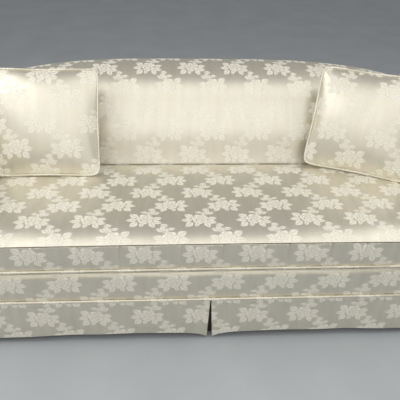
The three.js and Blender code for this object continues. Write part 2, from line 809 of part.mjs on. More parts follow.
function addSkirt() {
  const cornerX = outsideArmX + skirtSideReach;
  const rearBaseY = rearFaceY(borderBottom + weltRadius);
  for (const [name, side] of sides) {
    const pleatGap = (z) => pleatHalfGapTop
      + ((pleatHalfGapHem - pleatHalfGapTop) * Math.max(0, borderBottom - z)) / borderBottom;
    addPiece(
      `${name}_front_skirt`,
      skirtRun(0, cornerX, skirtReach, (x) => hemAt(x, cornerX), (x, out, z) => {
        const shift = pleatGap(z) * (1 - x / cornerX);
        return new THREE.Vector3(side * (x + shift), frontY - out, z);
      }),
      damask,
    );
    addPiece(
      `${name}_side_skirt`,
      skirtRun(
        frontY + underlayGap,
        rearBaseY - touch,
        skirtSideReach + touch,
        (y) => hemAt((rearBaseY - frontY) / 2 - Math.abs(y - (rearBaseY + frontY) / 2), rearBaseY - frontY),
        (y, out, z) => new THREE.Vector3(side * (outsideArmX + out), y, z),
      ),
      damask,
    );
    addCornerUnderlay(name, side);
  }
  addPiece(
    'back_skirt',
    skirtRun(-cornerX, cornerX, skirtSideReach, (x) => hemAt(cornerX - Math.abs(x), cornerX), (x, out, z) => (
      new THREE.Vector3(x, rearBaseY + out, z))),
    damask,
  );
  const underlayTop = borderBottom - coverLap - touch;
  addPiece(
    'middle_pleat_underlay',
    boxBetween(
      -underlayHalfWidth,
      underlayHalfWidth,
      frontY + underlayGap,
      frontY + underlayGap + underlayThickness,
      hemMiddle - hemPleatDip,
      underlayTop,
    ),
    damask,
  );
}

/** The cloth behind a corner pleat: an upright angle of two short wings. */
function addCornerUnderlay(name, side) {
  const outerX = outsideArmX - underlayGap;
  const outerY = frontY + underlayGap;
  const innerX = outerX - underlayThickness;
  const innerY = outerY + underlayThickness;
  const outline = [
    [outerX - underlayHalfWidth, outerY],
    [outerX, outerY],
    [outerX, outerY + underlayHalfWidth],
    [innerX, outerY + underlayHalfWidth],
    [innerX, innerY],
    [outerX - underlayHalfWidth, innerY],
  ];
  const heights = [hemMiddle - hemPleatDip, borderBottom - coverLap - touch];
  const rings = heights.map((z) => outline.map(([x, y]) => new THREE.Vector3(side * x, y, z)));
  addPiece(`${name}_corner_underlay`, loft(rings), damask);
}

// Seat cushion: a boxed cover with its crown and its drawn-in sides, a foam core and a zip at the back
const cushionCorner = 40;
const crownRise = 26;
const crownShares = [0.045, 0.13, 0.3, 0.56, 0.9];
const crownPower = 4;
const drawIn = 3;
const boxingBulge = 3;
const seamWelt = 3.5;
const longSideSteps = 10;
const shortSideSteps = 4;
const cornerSteps = 3;
const zipEndInset = 150;
const zipHeight = 30;
const sliderLength = 14;
const sliderThickness = 3;

const cushionHalfWidth = seatHalfWidth - cushionSideGap;
const cushionHalfDepth = seatDepth / 2;
const cushionMiddleY = frontY + cushionHalfDepth;
const cushionMiddleZ = (cushionBottom + seatHeight) / 2;
const zipHalfLength = cushionHalfWidth - zipEndInset;

/** The crown's height above the top seam at a distance from the edge: a curve, straight between its rings. */
function crownOver(distance) {
  const ringShares = [0, ...crownShares];
  const share = THREE.MathUtils.clamp(distance / cushionHalfDepth, 0, ringShares.at(-1));
  const k = Math.max(1, ringShares.findIndex((ring) => ring >= share));
  const [low, high] = ringShares.slice(k - 1, k + 1);
  const rise = (ring) => crownRise * (1 - (1 - ring) ** crownPower);
  return THREE.MathUtils.mapLinear(share, low, high, rise(low), rise(high));
}

/** The seat's height at a place, above its top seam by the crown. */
function seatTopAt(x, y) {
  const distance = Math.min(cushionHalfWidth - Math.abs(x), cushionHalfDepth - Math.abs(y - cushionMiddleY));
  return seatHeight + crownOver(distance);
}

/** One level ring round the cushion: a rectangle with round corners whose sides are drawn in. */
function cushionRing(inset, z) {
  const halfX = cushionHalfWidth - inset;
  const halfY = cushionHalfDepth - inset;
  const radius = Math.max(cushionCorner - inset, seamWelt);
  const ring = [];
  const corners = [[1, -1, -Math.PI / 2], [1, 1, 0], [-1, 1, Math.PI / 2], [-1, -1, Math.PI]];
  corners.forEach(([signX, signY, start], i) => {
    const arc = steps(start, start + Math.PI / 2, cornerSteps).map((turn) => new THREE.Vector2(
      signX * (halfX - radius) + radius * Math.cos(turn),
      signY * (halfY - radius) + radius * Math.sin(turn),
    ));
    const [nextX, nextY, nextStart] = corners[(i + 1) % corners.length];
    const nextPoint = new THREE.Vector2(
      nextX * (halfX - radius) + radius * Math.cos(nextStart),
      nextY * (halfY - radius) + radius * Math.sin(nextStart),
    );
    const count = i % 2 === 0 ? shortSideSteps : longSideSteps;
    const side = steps(0, 1, count).slice(1, -1).map((share) => arc.at(-1).clone().lerp(nextPoint, share));
    ring.push(...arc, ...side);
  });
  return ring.map((p) => {
    const alongX = Math.cos((Math.PI / 2) * (p.x / halfX));
    const alongY = Math.cos((Math.PI / 2) * (p.y / halfY));
    const x = p.x - Math.sign(p.x) * drawIn * alongY * Math.abs(p.x / halfX);
    const y = p.y - Math.sign(p.y) * drawIn * alongX * Math.abs(p.y / halfY);
    return new THREE.Vector3(x, cushionMiddleY + y, z);
  });
}

/** Rings from the cushion's flat underside up its boxing and over its crown, inside its skin by an inset. */
function cushionRings(inset, withWelts) {
  const bottom = cushionBottom + inset;
  const seam = seatHeight - inset;
  const welt = (z) => [[seamWelt, z - seamWelt], [0, z], [seamWelt, z + seamWelt]];
  const lowerEdge = withWelts ? welt(cushionBottom + seamWelt) : [[inset + seamWelt, bottom]];
  const upperEdge = withWelts ? welt(seatHeight - seamWelt / 2) : [[inset + seamWelt, seam]];
  const boxing = [[seamWelt + inset - boxingBulge, cushionMiddleZ]];
  const crown = crownShares.map((share) => {
    const distance = share * cushionHalfDepth;
    return [distance + inset, seam + crownOver(distance)];
  });
  return [[cushionCorner + inset, bottom], ...lowerEdge, ...boxing, ...upperEdge, ...crown]
    .map(([ringInset, z]) => cushionRing(ringInset, z));
}

/** The rear face of the cushion's boxing at the middle of its height. */
function cushionRearAt(x) {
  const alongX = Math.cos((Math.PI / 2) * (x / cushionHalfWidth));
  return cushionBackY - seamWelt + boxingBulge - drawIn * alongX;
}

/** A block through the rear boxing for the zip, smaller all round by a gap. */
function zipOpening(gap) {
  const [halfLength, halfHeight] = [zipHalfLength - gap, zipHeight / 2 - gap];
  const frontReach = coverThickness + 2 * cutOverrun;
  return boxBetween(
    -halfLength,
    halfLength,
    cushionBackY - frontReach,
    cushionBackY + cutOverrun,
    cushionMiddleZ - halfHeight,
    cushionMiddleZ + halfHeight,
  );
}

function addSeatCushion() {
  const shell = toSolid(loft(cushionRings(0, true)))
    .subtract(toSolid(loft(cushionRings(coverThickness, false))));
  addPiece('seat_cushion_cover', toGeometry(shell.subtract(toSolid(zipOpening(0)))), damask);
  addPiece('seat_cushion_core', loft(cushionRings(coverThickness + touch, false)), foam);
  addPiece('cushion_zip_tape', toGeometry(shell.intersect(toSolid(zipOpening(touch)))), nylon);
  const sliderEnd = zipHalfLength - sliderLength;
  const sliderY = cushionRearAt(sliderEnd) + touch;
  addPiece(
    'cushion_zip_slider',
    boxBetween(
      sliderEnd - sliderLength,
      sliderEnd,
      sliderY,
      sliderY + sliderThickness,
      cushionMiddleZ - zipHeight / 4,
      cushionMiddleZ + zipHeight / 4,
    ),
    springSteel,
  );
}

// Throw pillows: square, knife-edged with a welt, plump in the middle, leaning on the back
const pillowWidth = 416;
const pillowThickness = 140;
const pillowSharpness = 7;
const pillowDrawShare = 0.035;
const pillowSwellPower = 0.65;
const pillowSides = 36;
const pillowInsetShares = [0.94, 0.78, 0.58, 0.38, 0.2, 0.08];
const pillowWelt = 4;
const leftPillow = { side: -1, armGap: 34, backGap: 50, turn: 0, extraLean: 2 };
const rightPillow = { side: 1, armGap: 72, backGap: 56, turn: -24, extraLean: -1 };

/** The pillow's outline at a turn: a square with round corners and sides drawn in between them. */
function pillowOutline(turn, scale) {
  const [c, s] = [Math.cos(turn), Math.sin(turn)];
  const radius = (Math.abs(c) ** pillowSharpness + Math.abs(s) ** pillowSharpness) ** (-1 / pillowSharpness);
  const drawn = 1 - pillowDrawShare * Math.cos(2 * turn) ** 2;
  return new THREE.Vector2(c, s).multiplyScalar((pillowWidth / 2) * scale * radius * drawn);
}

/** A pillow standing on its lower edge at the origin, facing -Y, before it is leaned back. */
function uprightPillow() {
  const ringAt = (scale, offset) => steps(0, pillowSides - 1, pillowSides - 1).map((i) => {
    const p = pillowOutline((2 * Math.PI * i) / pillowSides, scale);
    return new THREE.Vector3(p.x, offset, p.y + pillowWidth / 2);
  });
  const swell = (share) => (pillowThickness / 2) * (1 - (1 - share) ** 2) ** pillowSwellPower;
  const front = pillowInsetShares.map((share) => ringAt(1 - share, -swell(share) - pillowWelt));
  const back = pillowInsetShares.map((share) => ringAt(1 - share, swell(share) + pillowWelt)).reverse();
  const weltShare = (2 * pillowWelt) / pillowWidth;
  const welt = [ringAt(1 - weltShare, -pillowWelt), ringAt(1, 0), ringAt(1 - weltShare, pillowWelt)];
  return loft([...front, ...welt, ...back]);
}

/** Leans and turns a pillow, then sets it down on the seat's crown, clear of the arm and the back. */
function placedPillow({ side, armGap, backGap, turn, extraLean }) {
  const pillow = uprightPillow();
  pillow.rotateX(-THREE.MathUtils.degToRad(backRake + extraLean));
  pillow.rotateZ(THREE.MathUtils.degToRad(turn));
  const x = side * (seatHalfWidth - armGap - pillowWidth / 2);
  pillow.translate(x, cushionBackY - backGap - pillowThickness / 2, 0);
  const places = pillow.attributes.position;
  const lifts = Array.from({ length: places.count }, (_, i) => (
    seatTopAt(places.getX(i), places.getY(i)) - places.getZ(i)));
  pillow.translate(0, 0, Math.max(...lifts) + touch);
  return pillow;
}

addSeatFrame();
addLegs();
addDustCover();
addSprings();
addDeck();
addBackFrame();
addBackUpholstery();
for (const [name, side] of sides) {
  addArmFrame(name, side);
  addArmUpholstery(name, side);
}
addOutsideBack();
addSkirt();
addSeatCushion();
addPiece('left_pillow', placedPillow(leftPillow), damask);
addPiece('right_pillow', placedPillow(rightPillow), damask);

export default sofa;
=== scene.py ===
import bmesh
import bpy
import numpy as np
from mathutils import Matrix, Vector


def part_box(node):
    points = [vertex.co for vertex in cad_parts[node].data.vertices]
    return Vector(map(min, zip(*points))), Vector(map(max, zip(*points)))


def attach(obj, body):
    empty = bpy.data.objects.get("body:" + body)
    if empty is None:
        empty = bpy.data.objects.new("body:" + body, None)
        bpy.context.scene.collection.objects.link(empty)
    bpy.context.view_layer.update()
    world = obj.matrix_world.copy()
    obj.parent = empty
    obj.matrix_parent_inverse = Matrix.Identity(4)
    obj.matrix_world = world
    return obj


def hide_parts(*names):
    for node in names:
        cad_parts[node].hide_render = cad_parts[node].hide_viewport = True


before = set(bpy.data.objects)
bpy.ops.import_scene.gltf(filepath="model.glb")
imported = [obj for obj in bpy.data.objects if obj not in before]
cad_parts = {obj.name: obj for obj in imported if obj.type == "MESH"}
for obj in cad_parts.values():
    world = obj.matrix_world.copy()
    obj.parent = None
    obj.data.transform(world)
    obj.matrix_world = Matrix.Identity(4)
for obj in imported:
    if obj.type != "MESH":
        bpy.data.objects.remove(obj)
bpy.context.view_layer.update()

# %% [markdown]
# # A skirted sofa in rose damask
#
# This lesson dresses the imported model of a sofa: an arched tight back that rolls over at the top,
# rolled arms, one long boxed seat cushion, two welted throw pillows and a skirt with an inverted
# pleat. The frame of hardwood, springs and webbing is already made and stays as it is. Every piece
# of cloth is worked out here as a surface: a formula in two parameters, evaluated on a whole grid.
#
# All lengths are metres, +Z is up, the front faces -Y, the origin is on the floor. Most sizes are
# read from the model's own boxes, and the few that no box gives follow them.

FRAME_BODY = "sofa_frame"

FRONT_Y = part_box("front_border_cover")[0][1]
BACK_FOOT_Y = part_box("inside_back_cover")[0][1]
BACK_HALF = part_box("inside_back_cover")[1][0]
CREST_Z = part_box("inside_back_cover")[1][2]
CUSHION_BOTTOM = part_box("seat_cushion_cover")[0][2]
CUSHION_HALF_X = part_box("seat_cushion_cover")[1][0]
CUSHION_FRONT, CUSHION_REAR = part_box("seat_cushion_cover")[0][1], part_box("seat_cushion_cover")[1][1]
REAR_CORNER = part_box("outside_back")[1]
OUTSIDE_ARM_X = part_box("right_outside_arm")[1][0]
ARM_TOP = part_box("right_inside_arm_cover")[1][2]

SEAT_Z = 0.452
TOUCH = 0.0003
RAKE = np.radians(28)
REAR_RAKE = np.radians(10)
BORDER_BOTTOM = 0.199
BORDER_HEIGHT = 0.139
COVER_BOTTOM = 0.194
SIDES = (("left", -1), ("right", 1))
UPWARD, FORWARD = np.array([0.0, 0.0, 1.0]), np.array([0.0, -1.0, 0.0])

# %% [markdown]
# ## The camera
#
# The view is the photograph's: from a little over a metre before the sofa, looking 34 degrees
# down, turned 4 degrees to the right and rolled by less than 2. The three angles give the camera's
# axes, and those are the columns of its matrix.

# %% Camera
CAMERA_YAW = np.radians(-3.974)
CAMERA_TILT = np.radians(34.197)
CAMERA_ROLL = np.radians(1.727)
CAMERA_X = -0.1339
CAMERA_BEFORE_FRONT = 1.2037
CAMERA_Z = 1.4527
CAMERA_LENS, SENSOR_WIDTH, CLIP_START = 42.366, 36, 0.05


def camera_axes(yaw, tilt, roll):
    """Right, up and forward: forward from yaw and tilt, then right and up turned about it by the roll."""
    forward = np.array([-np.sin(yaw) * np.cos(tilt), np.cos(yaw) * np.cos(tilt), -np.sin(tilt)])
    level = np.array([np.cos(yaw), np.sin(yaw), 0.0])
    above = np.cross(level, forward)
    right = level * np.cos(roll) + above * np.sin(roll)
    up = above * np.cos(roll) - level * np.sin(roll)
    return right, up, forward


def add_camera():
    """A camera whose matrix has right, up, backward and its place as columns."""
    data = bpy.data.cameras.new("photograph_view")
    data.lens = CAMERA_LENS
    data.sensor_width = SENSOR_WIDTH
    data.clip_start = CLIP_START
    camera = bpy.data.objects.new("photograph_view", data)
    right, up, forward = camera_axes(CAMERA_YAW, CAMERA_TILT, CAMERA_ROLL)
    matrix = np.eye(4)
    matrix[:3, 0], matrix[:3, 1], matrix[:3, 2] = right, up, -forward
    matrix[:3, 3] = (CAMERA_X, FRONT_Y - CAMERA_BEFORE_FRONT, CAMERA_Z)
    camera.matrix_world = Matrix(matrix.tolist())
    bpy.context.collection.objects.link(camera)
    bpy.context.scene.camera = camera


add_camera()
print("camera looks", round(float(np.degrees(CAMERA_TILT)), 1), "degrees down")

# %% [markdown]
# ## From arrays to surfaces
#
# A surface is an array of points with rows and columns. Its quads join each point to its
# neighbours, and a second array of the same shape holds the cloth's own coordinates in metres, so
# that the woven pattern follows the cloth over rolls and seams. Each helper hands back points,
# faces and the cloth coordinates of the faces' corners.


# %% Grids
def stacked(*axes):
    """Arrays stretched to one shape and stacked: the last axis holds one number from each."""
    return np.stack(np.broadcast_arrays(*axes), axis=-1)


def grid_surface(points, cloth, wrap=False):
    """Points (rows, columns, 3) and cloth coordinates (rows, columns or one more when wrapped, 2)."""
    rows, cols = points.shape[:2]
    r = np.arange(rows - 1)[:, None]
    c = np.arange(cols if wrap else cols - 1)[None, :]

    def corners(width, after):
        """The numbers of each quad's four corners, in rows of a given width."""
        return stacked(r * width + c, r * width + after, (r + 1) * width + after, (r + 1) * width + c)

    quads = corners(cols, (c + 1) % cols).reshape(-1, 4)
    pattern = corners(cloth.shape[1], c + 1).reshape(-1)
    return points.reshape(-1, 3), quads.tolist(), cloth.reshape(-1, 2)[pattern]


def join_surfaces(surfaces):
    """Surfaces one after another, with each one's face corners moved up by the points before it."""
    points, faces, cloth, start = [], [], [], 0
    for more_points, more_faces, more_cloth in surfaces:
        points.append(more_points)
        faces += [[i + start for i in face] for face in more_faces]
        cloth.append(more_cloth)
        start += len(more_points)
    return np.vstack(points), faces, np.vstack(cloth)


# %% [markdown]
# Nearly every form on a sofa is one of two kinds. A capped tube is a closed section carried along a
# line, with a flat face over each end. A slab is a sheet with thickness: two grids of one shape and
# the strip round their edges. Both are closed once the points that their parts share are merged.


# %% Tubes and slabs
def closed_ring(line):
    """A line with its first point added again at the end."""
    return np.concatenate([line, line[:1]])


def run_length(points):
    """The distance along a line of points, zero at the first."""
    steps = np.linalg.norm(np.diff(points, axis=0), axis=1)
    return np.concatenate([[0.0], np.cumsum(steps)])


def capped_tube(sections, cloth):
    """Closed sections carried along, with one flat face over the first and one over the last."""
    caps = [(sections[i], [list(range(len(sections[i])))], cloth[i, :-1]) for i in (0, -1)]
    return join_surfaces([grid_surface(sections, cloth, wrap=True), *caps])


def perimeter(grid):
    """The grid's edge as one line that runs all round it."""
    return np.concatenate([grid[0, :-1], grid[:-1, -1], grid[-1, :0:-1], grid[:0:-1, 0]])


def slab(outer, inner, cloth):
    """A closed sheet between two grids of one shape: both faces and the strip round their edges."""
    rim = np.stack([perimeter(outer), perimeter(inner)])
    rim_cloth = np.stack([closed_ring(perimeter(cloth))] * 2)
    return join_surfaces([
        grid_surface(outer, cloth),
        grid_surface(inner[::-1], cloth[::-1]),
        grid_surface(rim, rim_cloth, wrap=True),
    ])


# %% [markdown]
# ## Building a material from nodes
#
# A pattern is arithmetic on coordinates. A few short helpers keep it readable: one makes a node and
# sets or links its inputs, another makes a Math node and hands back its result.


# %% Node helpers
def feed(tree, socket, value):
    """Links an output to a socket, or writes a plain value into it."""
    if isinstance(value, bpy.types.NodeSocket):
        tree.links.new(value, socket)
    else:
        socket.default_value = value


def add_node(tree, kind, inputs=(), **settings):
    """A node with its settings, and its inputs given by name or by number."""
    node = tree.nodes.new(kind)
    for key, value in settings.items():
        setattr(node, key, value)
    for key, value in dict(inputs).items():
        feed(tree, node.inputs[key], value)
    return node


def calc(tree, operation, *operands):
    """The result of one Math node."""
    return add_node(tree, "ShaderNodeMath", enumerate(operands), operation=operation).outputs[0]


def new_group(name, inputs, output):
    """An empty node group with its inputs, its one number out, and the node that holds its inputs."""
    tree = bpy.data.node_groups.new(name, "ShaderNodeTree")
    for label, kind in inputs:
        tree.interface.new_socket(name=label, in_out="INPUT", socket_type="NodeSocket" + kind)
    tree.interface.new_socket(name=output, in_out="OUTPUT", socket_type="NodeSocketFloat")
    return tree, tree.nodes.new("NodeGroupInput").outputs


def use_group(tree, group, inputs):
    """The first output of a node group fed with the given inputs."""
    node = tree.nodes.new("ShaderNodeGroup")
    node.node_tree = group
    for key, value in inputs.items():
        feed(tree, node.inputs[key], value)
    return node.outputs[0]


# %% [markdown]
# ## The damask's drawing
#
# Damask is one thread woven two ways: a glossy satin ground and a matte figure. The figure here is
# a spray: a rose with leaves to both sides and a tail that trails down to the right. Sprays repeat
# every 190 mm across. The rows lie 95 mm apart, and each second row is mirrored and moved by half a
# repeat, so the sprays join into a trellis.
#
# The drawing is made once, in one cell. The cloth's coordinates are folded into that cell, and
# every leaf that reaches over the cell's edge is drawn again where its neighbour's copy comes in.

# %% Leaves of the spray
REPEAT = 0.19
ROW = REPEAT / 2
ROSE_ACROSS = 0.0038
SPRAY = (
    {"across": -0.036, "up": 0.019, "half": (0.0185, 0.0125), "turn": 148},
    {"across": -0.043, "up": -0.007, "half": (0.0210, 0.0105), "turn": 184},
    {"across": -0.035, "up": -0.032, "half": (0.0185, 0.0120), "turn": 224},
    {"across": 0.023, "up": 0.036, "half": (0.0190, 0.0110), "turn": 60},
    {"across": 0.042, "up": 0.036, "half": (0.0140, 0.0080), "turn": 24},
    {"across": 0.080, "up": -0.050, "half": (0.0240, 0.0016), "turn": -34},
    {"across": 0.046, "up": 0.002, "half": (0.0185, 0.0105), "turn": 16},
    {"across": 0.045, "up": -0.019, "half": (0.0190, 0.0105), "turn": -16},
    {"across": 0.029, "up": -0.034, "half": (0.0180, 0.0105), "turn": -62},
    {"across": -0.008, "up": -0.034, "half": (0.0120, 0.0080), "turn": -108},
    {"across": 0.071, "up": -0.036, "half": (0.0150, 0.0085), "turn": -2},
    {"across": 0.066, "up": -0.055, "half": (0.0160, 0.0090), "turn": -66},
    {"across": 0.096, "up": -0.054, "half": (0.0140, 0.0070), "turn": 8},
)


def copies_in_cell(leaf):
    """The leaf, its copies a repeat to each side and the mirrored ones half a repeat away, if they show."""
    across, up, turn = leaf["across"], leaf["up"], np.radians(leaf["turn"])
    places = [(across + k * REPEAT, up, turn) for k in (-1, 0, 1)]
    places += [(k * ROW - across, up + row * ROW, np.pi - turn) for k in (-1, 1) for row in (-1, 1)]
    reach = leaf["half"][0]
    return [p for p in places if abs(p[0]) < ROW + reach and abs(p[1]) < ROW / 2 + reach]


print(sum(len(copies_in_cell(leaf)) for leaf in SPRAY), "leaves are drawn in one cell")

# %% [markdown]
# The drawing is one number for each point: how far inside the figure it lies, in metres, and below
# zero outside. With u along a leaf and v across it, both 1 at its ends, the leaf is the place where
# (1 - u²)(1 - taper u) - |v| is above zero: pointed at both ends and slimmer towards its tip. It is
# painted over what is there already, with a hairline of ground kept round it, and veins are cut
# into it.

# %% One leaf as a node group
HAIRLINE = 0.0016
VEIN = 0.0008
TAPER = 0.35
SIDE_VEINS = 2.2
SIDE_VEIN_SLOPE = 0.9
SIDE_VEIN_SHARE = 0.07


def leaf_group():
    """Painted is the greater of below, kept a hairline off the leaf, and the leaf less its veins."""
    inputs = (("Place", "Vector"), ("Half width", "Float"), ("Below", "Float"))
    tree, given = new_group("leaf", inputs, "Painted")
    width = given["Half width"]
    axes = add_node(tree, "ShaderNodeSeparateXYZ", {0: given["Place"]})
    u, v = axes.outputs[0], calc(tree, "ABSOLUTE", axes.outputs[1])
    inside = calc(tree, "SUBTRACT", 1.0, calc(tree, "MULTIPLY", u, u))
    narrowing = calc(tree, "MULTIPLY_ADD", calc(tree, "MINIMUM", u, 1.0), -TAPER, 1.0)
    limit = calc(tree, "MULTIPLY", inside, narrowing)
    leaf = calc(tree, "MULTIPLY", calc(tree, "SUBTRACT", limit, v), width)
    middle_vein = calc(tree, "SUBTRACT", calc(tree, "MULTIPLY", v, width), VEIN)
    slant = calc(tree, "MULTIPLY_ADD", v, SIDE_VEIN_SLOPE, u)
    nearest = calc(tree, "PINGPONG", calc(tree, "MULTIPLY", slant, SIDE_VEINS), 0.5)
    side_vein = calc(tree, "MULTIPLY", calc(tree, "SUBTRACT", nearest, SIDE_VEIN_SHARE), width)
    veins = calc(tree, "MINIMUM", middle_vein, side_vein)
    outside = calc(tree, "MULTIPLY_ADD", leaf, -1.0, -HAIRLINE)
    kept = calc(tree, "MINIMUM", given["Below"], outside)
    painted = calc(tree, "MAXIMUM", kept, calc(tree, "MINIMUM", leaf, veins))
    feed(tree, tree.nodes.new("NodeGroupOutput").inputs["Painted"], painted)
    return tree


LEAF = leaf_group()
print("a leaf takes", len(LEAF.nodes), "nodes")

# %% [markdown]
# The rose is painted last, over the leaves. It is drawn on polar axes. Its edge is scalloped by the
# size of a sine of the turn, its rings of petals are circles whose radius rises and falls by a
# cosine on the way round, and short lines part the outer petals.

# %% The rose
ROSE_RADIUS, ROSE_NOTCH, ROSE_LOBES, ROSE_TURN = 0.0290, 0.0050, 3.5, 0.6
PETAL_RINGS = ((0.0185, 0.0024, 4, 1.0), (0.0115, 0.0018, 3, 2.2), (0.0050, 0.0008, 2, 0.4))
PETAL_LINE = 0.0011
PETAL_PARTS, PETAL_PART_SLOPE = 2.5, 0.4


def size_of_sine(tree, turn, lobes, phase):
    """|sin(lobes times turn plus phase)|"""
    return calc(tree, "ABSOLUTE", calc(tree, "SINE", calc(tree, "MULTIPLY_ADD", turn, lobes, phase)))


def waved_radius(tree, turn, radius, lobe, lobes, phase):
    """radius + lobe times the cosine of lobes times the turn plus a phase."""
    angle = calc(tree, "MULTIPLY_ADD", turn, float(lobes), phase)
    return calc(tree, "MULTIPLY_ADD", calc(tree, "COSINE", angle), lobe, radius)


def rose_over(tree, across, up, below):
    """The greater of below, kept a hairline off the rose, and the rose less its petals' lines."""
    x = calc(tree, "SUBTRACT", across, ROSE_ACROSS)
    squares = calc(tree, "ADD", calc(tree, "MULTIPLY", x, x), calc(tree, "MULTIPLY", up, up))
    reach = calc(tree, "SQRT", squares)
    turn = calc(tree, "ARCTAN2", up, x)
    lobe = size_of_sine(tree, turn, ROSE_LOBES, ROSE_TURN)
    edge = calc(tree, "MULTIPLY_ADD", lobe, ROSE_NOTCH, ROSE_RADIUS - ROSE_NOTCH)
    field = calc(tree, "SUBTRACT", edge, reach)
    kept = calc(tree, "MINIMUM", below, calc(tree, "MULTIPLY_ADD", field, -1.0, -HAIRLINE))
    outermost = waved_radius(tree, turn, *PETAL_RINGS[0])
    wedge = calc(tree, "MULTIPLY", size_of_sine(tree, turn, PETAL_PARTS, 0.0), reach)
    part = calc(tree, "MULTIPLY_ADD", wedge, PETAL_PART_SLOPE, -PETAL_LINE)
    inner = calc(tree, "SUBTRACT", outermost, reach)
    field = calc(tree, "MINIMUM", field, calc(tree, "MAXIMUM", part, inner))
    for ring in PETAL_RINGS:
        beyond = calc(tree, "SUBTRACT", reach, waved_radius(tree, turn, *ring))
        line = calc(tree, "SUBTRACT", calc(tree, "ABSOLUTE", beyond), PETAL_LINE)
        field = calc(tree, "MINIMUM", field, line)
    return calc(tree, "MAXIMUM", kept, field)


# %% [markdown]
# The fold: the row's number is the height over the row's pitch, rounded. Odd rows are moved by half
# a repeat and mirrored. Then the place across is wrapped into one repeat.

# %% The whole figure as a node group
FIGURE_EDGE = 0.0005
BARE_GROUND = -0.01


def fold_into_cell(tree, cloth):
    """Across and up in the cell of the drawing, for a cloth coordinate."""
    axes = add_node(tree, "ShaderNodeSeparateXYZ", {0: cloth})
    row = calc(tree, "ROUND", calc(tree, "DIVIDE", axes.outputs[1], ROW))
    up = calc(tree, "MULTIPLY_ADD", row, -ROW, axes.outputs[1])
    odd = calc(tree, "PINGPONG", row, 1.0)
    moved = calc(tree, "MULTIPLY_ADD", odd, ROW, axes.outputs[0])
    across = calc(tree, "WRAP", moved, ROW, -ROW)
    mirror = calc(tree, "MULTIPLY_ADD", odd, -2.0, 1.0)
    return calc(tree, "MULTIPLY", across, mirror), up


def figure_group():
    """1 on the figure and 0 on the ground, with a soft edge as wide as a few threads."""
    tree, given = new_group("rose_spray", (("Cloth", "Vector"),), "Figure")
    across, up = fold_into_cell(tree, given["Cloth"])
    cell = add_node(tree, "ShaderNodeCombineXYZ", {0: across, 1: up}).outputs[0]
    painted = BARE_GROUND
    for leaf in SPRAY:
        for leaf_across, leaf_up, turn in copies_in_cell(leaf):
            place = add_node(tree, "ShaderNodeMapping", {
                "Vector": cell, "Location": (leaf_across, leaf_up, 0),
                "Rotation": (0, 0, turn), "Scale": (*leaf["half"], 1),
            }, vector_type="TEXTURE").outputs[0]
            inputs = {"Place": place, "Half width": leaf["half"][1], "Below": painted}
            painted = use_group(tree, LEAF, inputs)
    painted = rose_over(tree, across, up, painted)
    edge = add_node(tree, "ShaderNodeMapRange", {
        "Value": painted, "From Min": -FIGURE_EDGE, "From Max": FIGURE_EDGE,
    }, interpolation_type="SMOOTHSTEP")
    feed(tree, tree.nodes.new("NodeGroupOutput").inputs["Figure"], edge.outputs[0])
    return tree


FIGURE = figure_group()
print("figure drawn with", len(FIGURE.nodes), "nodes")

# %% [markdown]
# ## The damask as a material
#
# Satin ground and matte figure are the same ivory thread, so they differ in how they shine more
# than in colour. The ground reflects like silk: smoother, mostly metallic, darker when no lamp is
# mirrored in it and as bright as the figure when one is. Long soft bands of lighter and darker tint
# follow the threads: painted sheen. A fine grain stands for the weave.

# %% Shading helpers
def new_material(name):
    """An empty material, its tree and its surface shader."""
    material = bpy.data.materials.new(name)
    material.use_nodes = True
    return material, material.node_tree, material.node_tree.nodes["Principled BSDF"]


def scaled_noise(tree, coordinates, scale, detail=2.0):
    """Noise from 0 to 1 on coordinates that are stretched by a scale."""
    place = add_node(tree, "ShaderNodeMapping", {"Vector": coordinates, "Scale": scale}).outputs[0]
    inputs = {"Vector": place, "Scale": 1.0, "Detail": detail}
    return add_node(tree, "ShaderNodeTexNoise", inputs).outputs[0]


def blended(tree, share, first, second):
    """A number between two others by a share."""
    return calc(tree, "MULTIPLY_ADD", share, second - first, first)


def mixed_color(tree, share, first, second):
    """A colour between two others by a share; the node takes its two colours as inputs 6 and 7."""
    inputs = {0: share, 6: (*first, 1), 7: (*second, 1)}
    return add_node(tree, "ShaderNodeMix", inputs, data_type="RGBA").outputs[2]


def tinted(tree, color, noise, depth):
    """A colour made lighter or darker by a noise around its middle."""
    level = calc(tree, "MULTIPLY_ADD", noise, 2 * depth, 1 - depth)
    scale = add_node(tree, "ShaderNodeCombineXYZ", {0: level, 1: level, 2: level}).outputs[0]
    return add_node(tree, "ShaderNodeVectorMath", {0: color, 1: scale}, operation="MULTIPLY").outputs[0]


def finish_surface(tree, shader, color, roughness, height, bump):
    """Feeds colour and roughness to the shader, and raises the surface by a height."""
    raised = add_node(tree, "ShaderNodeBump", {"Height": height, "Strength": 1.0, "Distance": bump})
    feed(tree, shader.inputs["Base Color"], color)
    feed(tree, shader.inputs["Roughness"], roughness)
    feed(tree, shader.inputs["Normal"], raised.outputs[0])


# %% [markdown]
# The figure's share, 0 on the ground and 1 on the figure, mixes everything else.

# %% Damask
GROUND_COLOR = (0.77, 0.73, 0.62)
FIGURE_COLOR = (0.93, 0.895, 0.79)
GROUND_ROUGHNESS, FIGURE_ROUGHNESS = 0.40, 0.62
GROUND_METALLIC, FIGURE_METALLIC = 0.80, 0.02
SHEEN_BAND_SCALE = (34, 5, 1)
SHEEN_BAND_DEPTH = 0.10
WEAVE_SCALE = (1300, 520, 1)
WEAVE_BUMP = 0.00008
WEAVE_TINT = 0.10


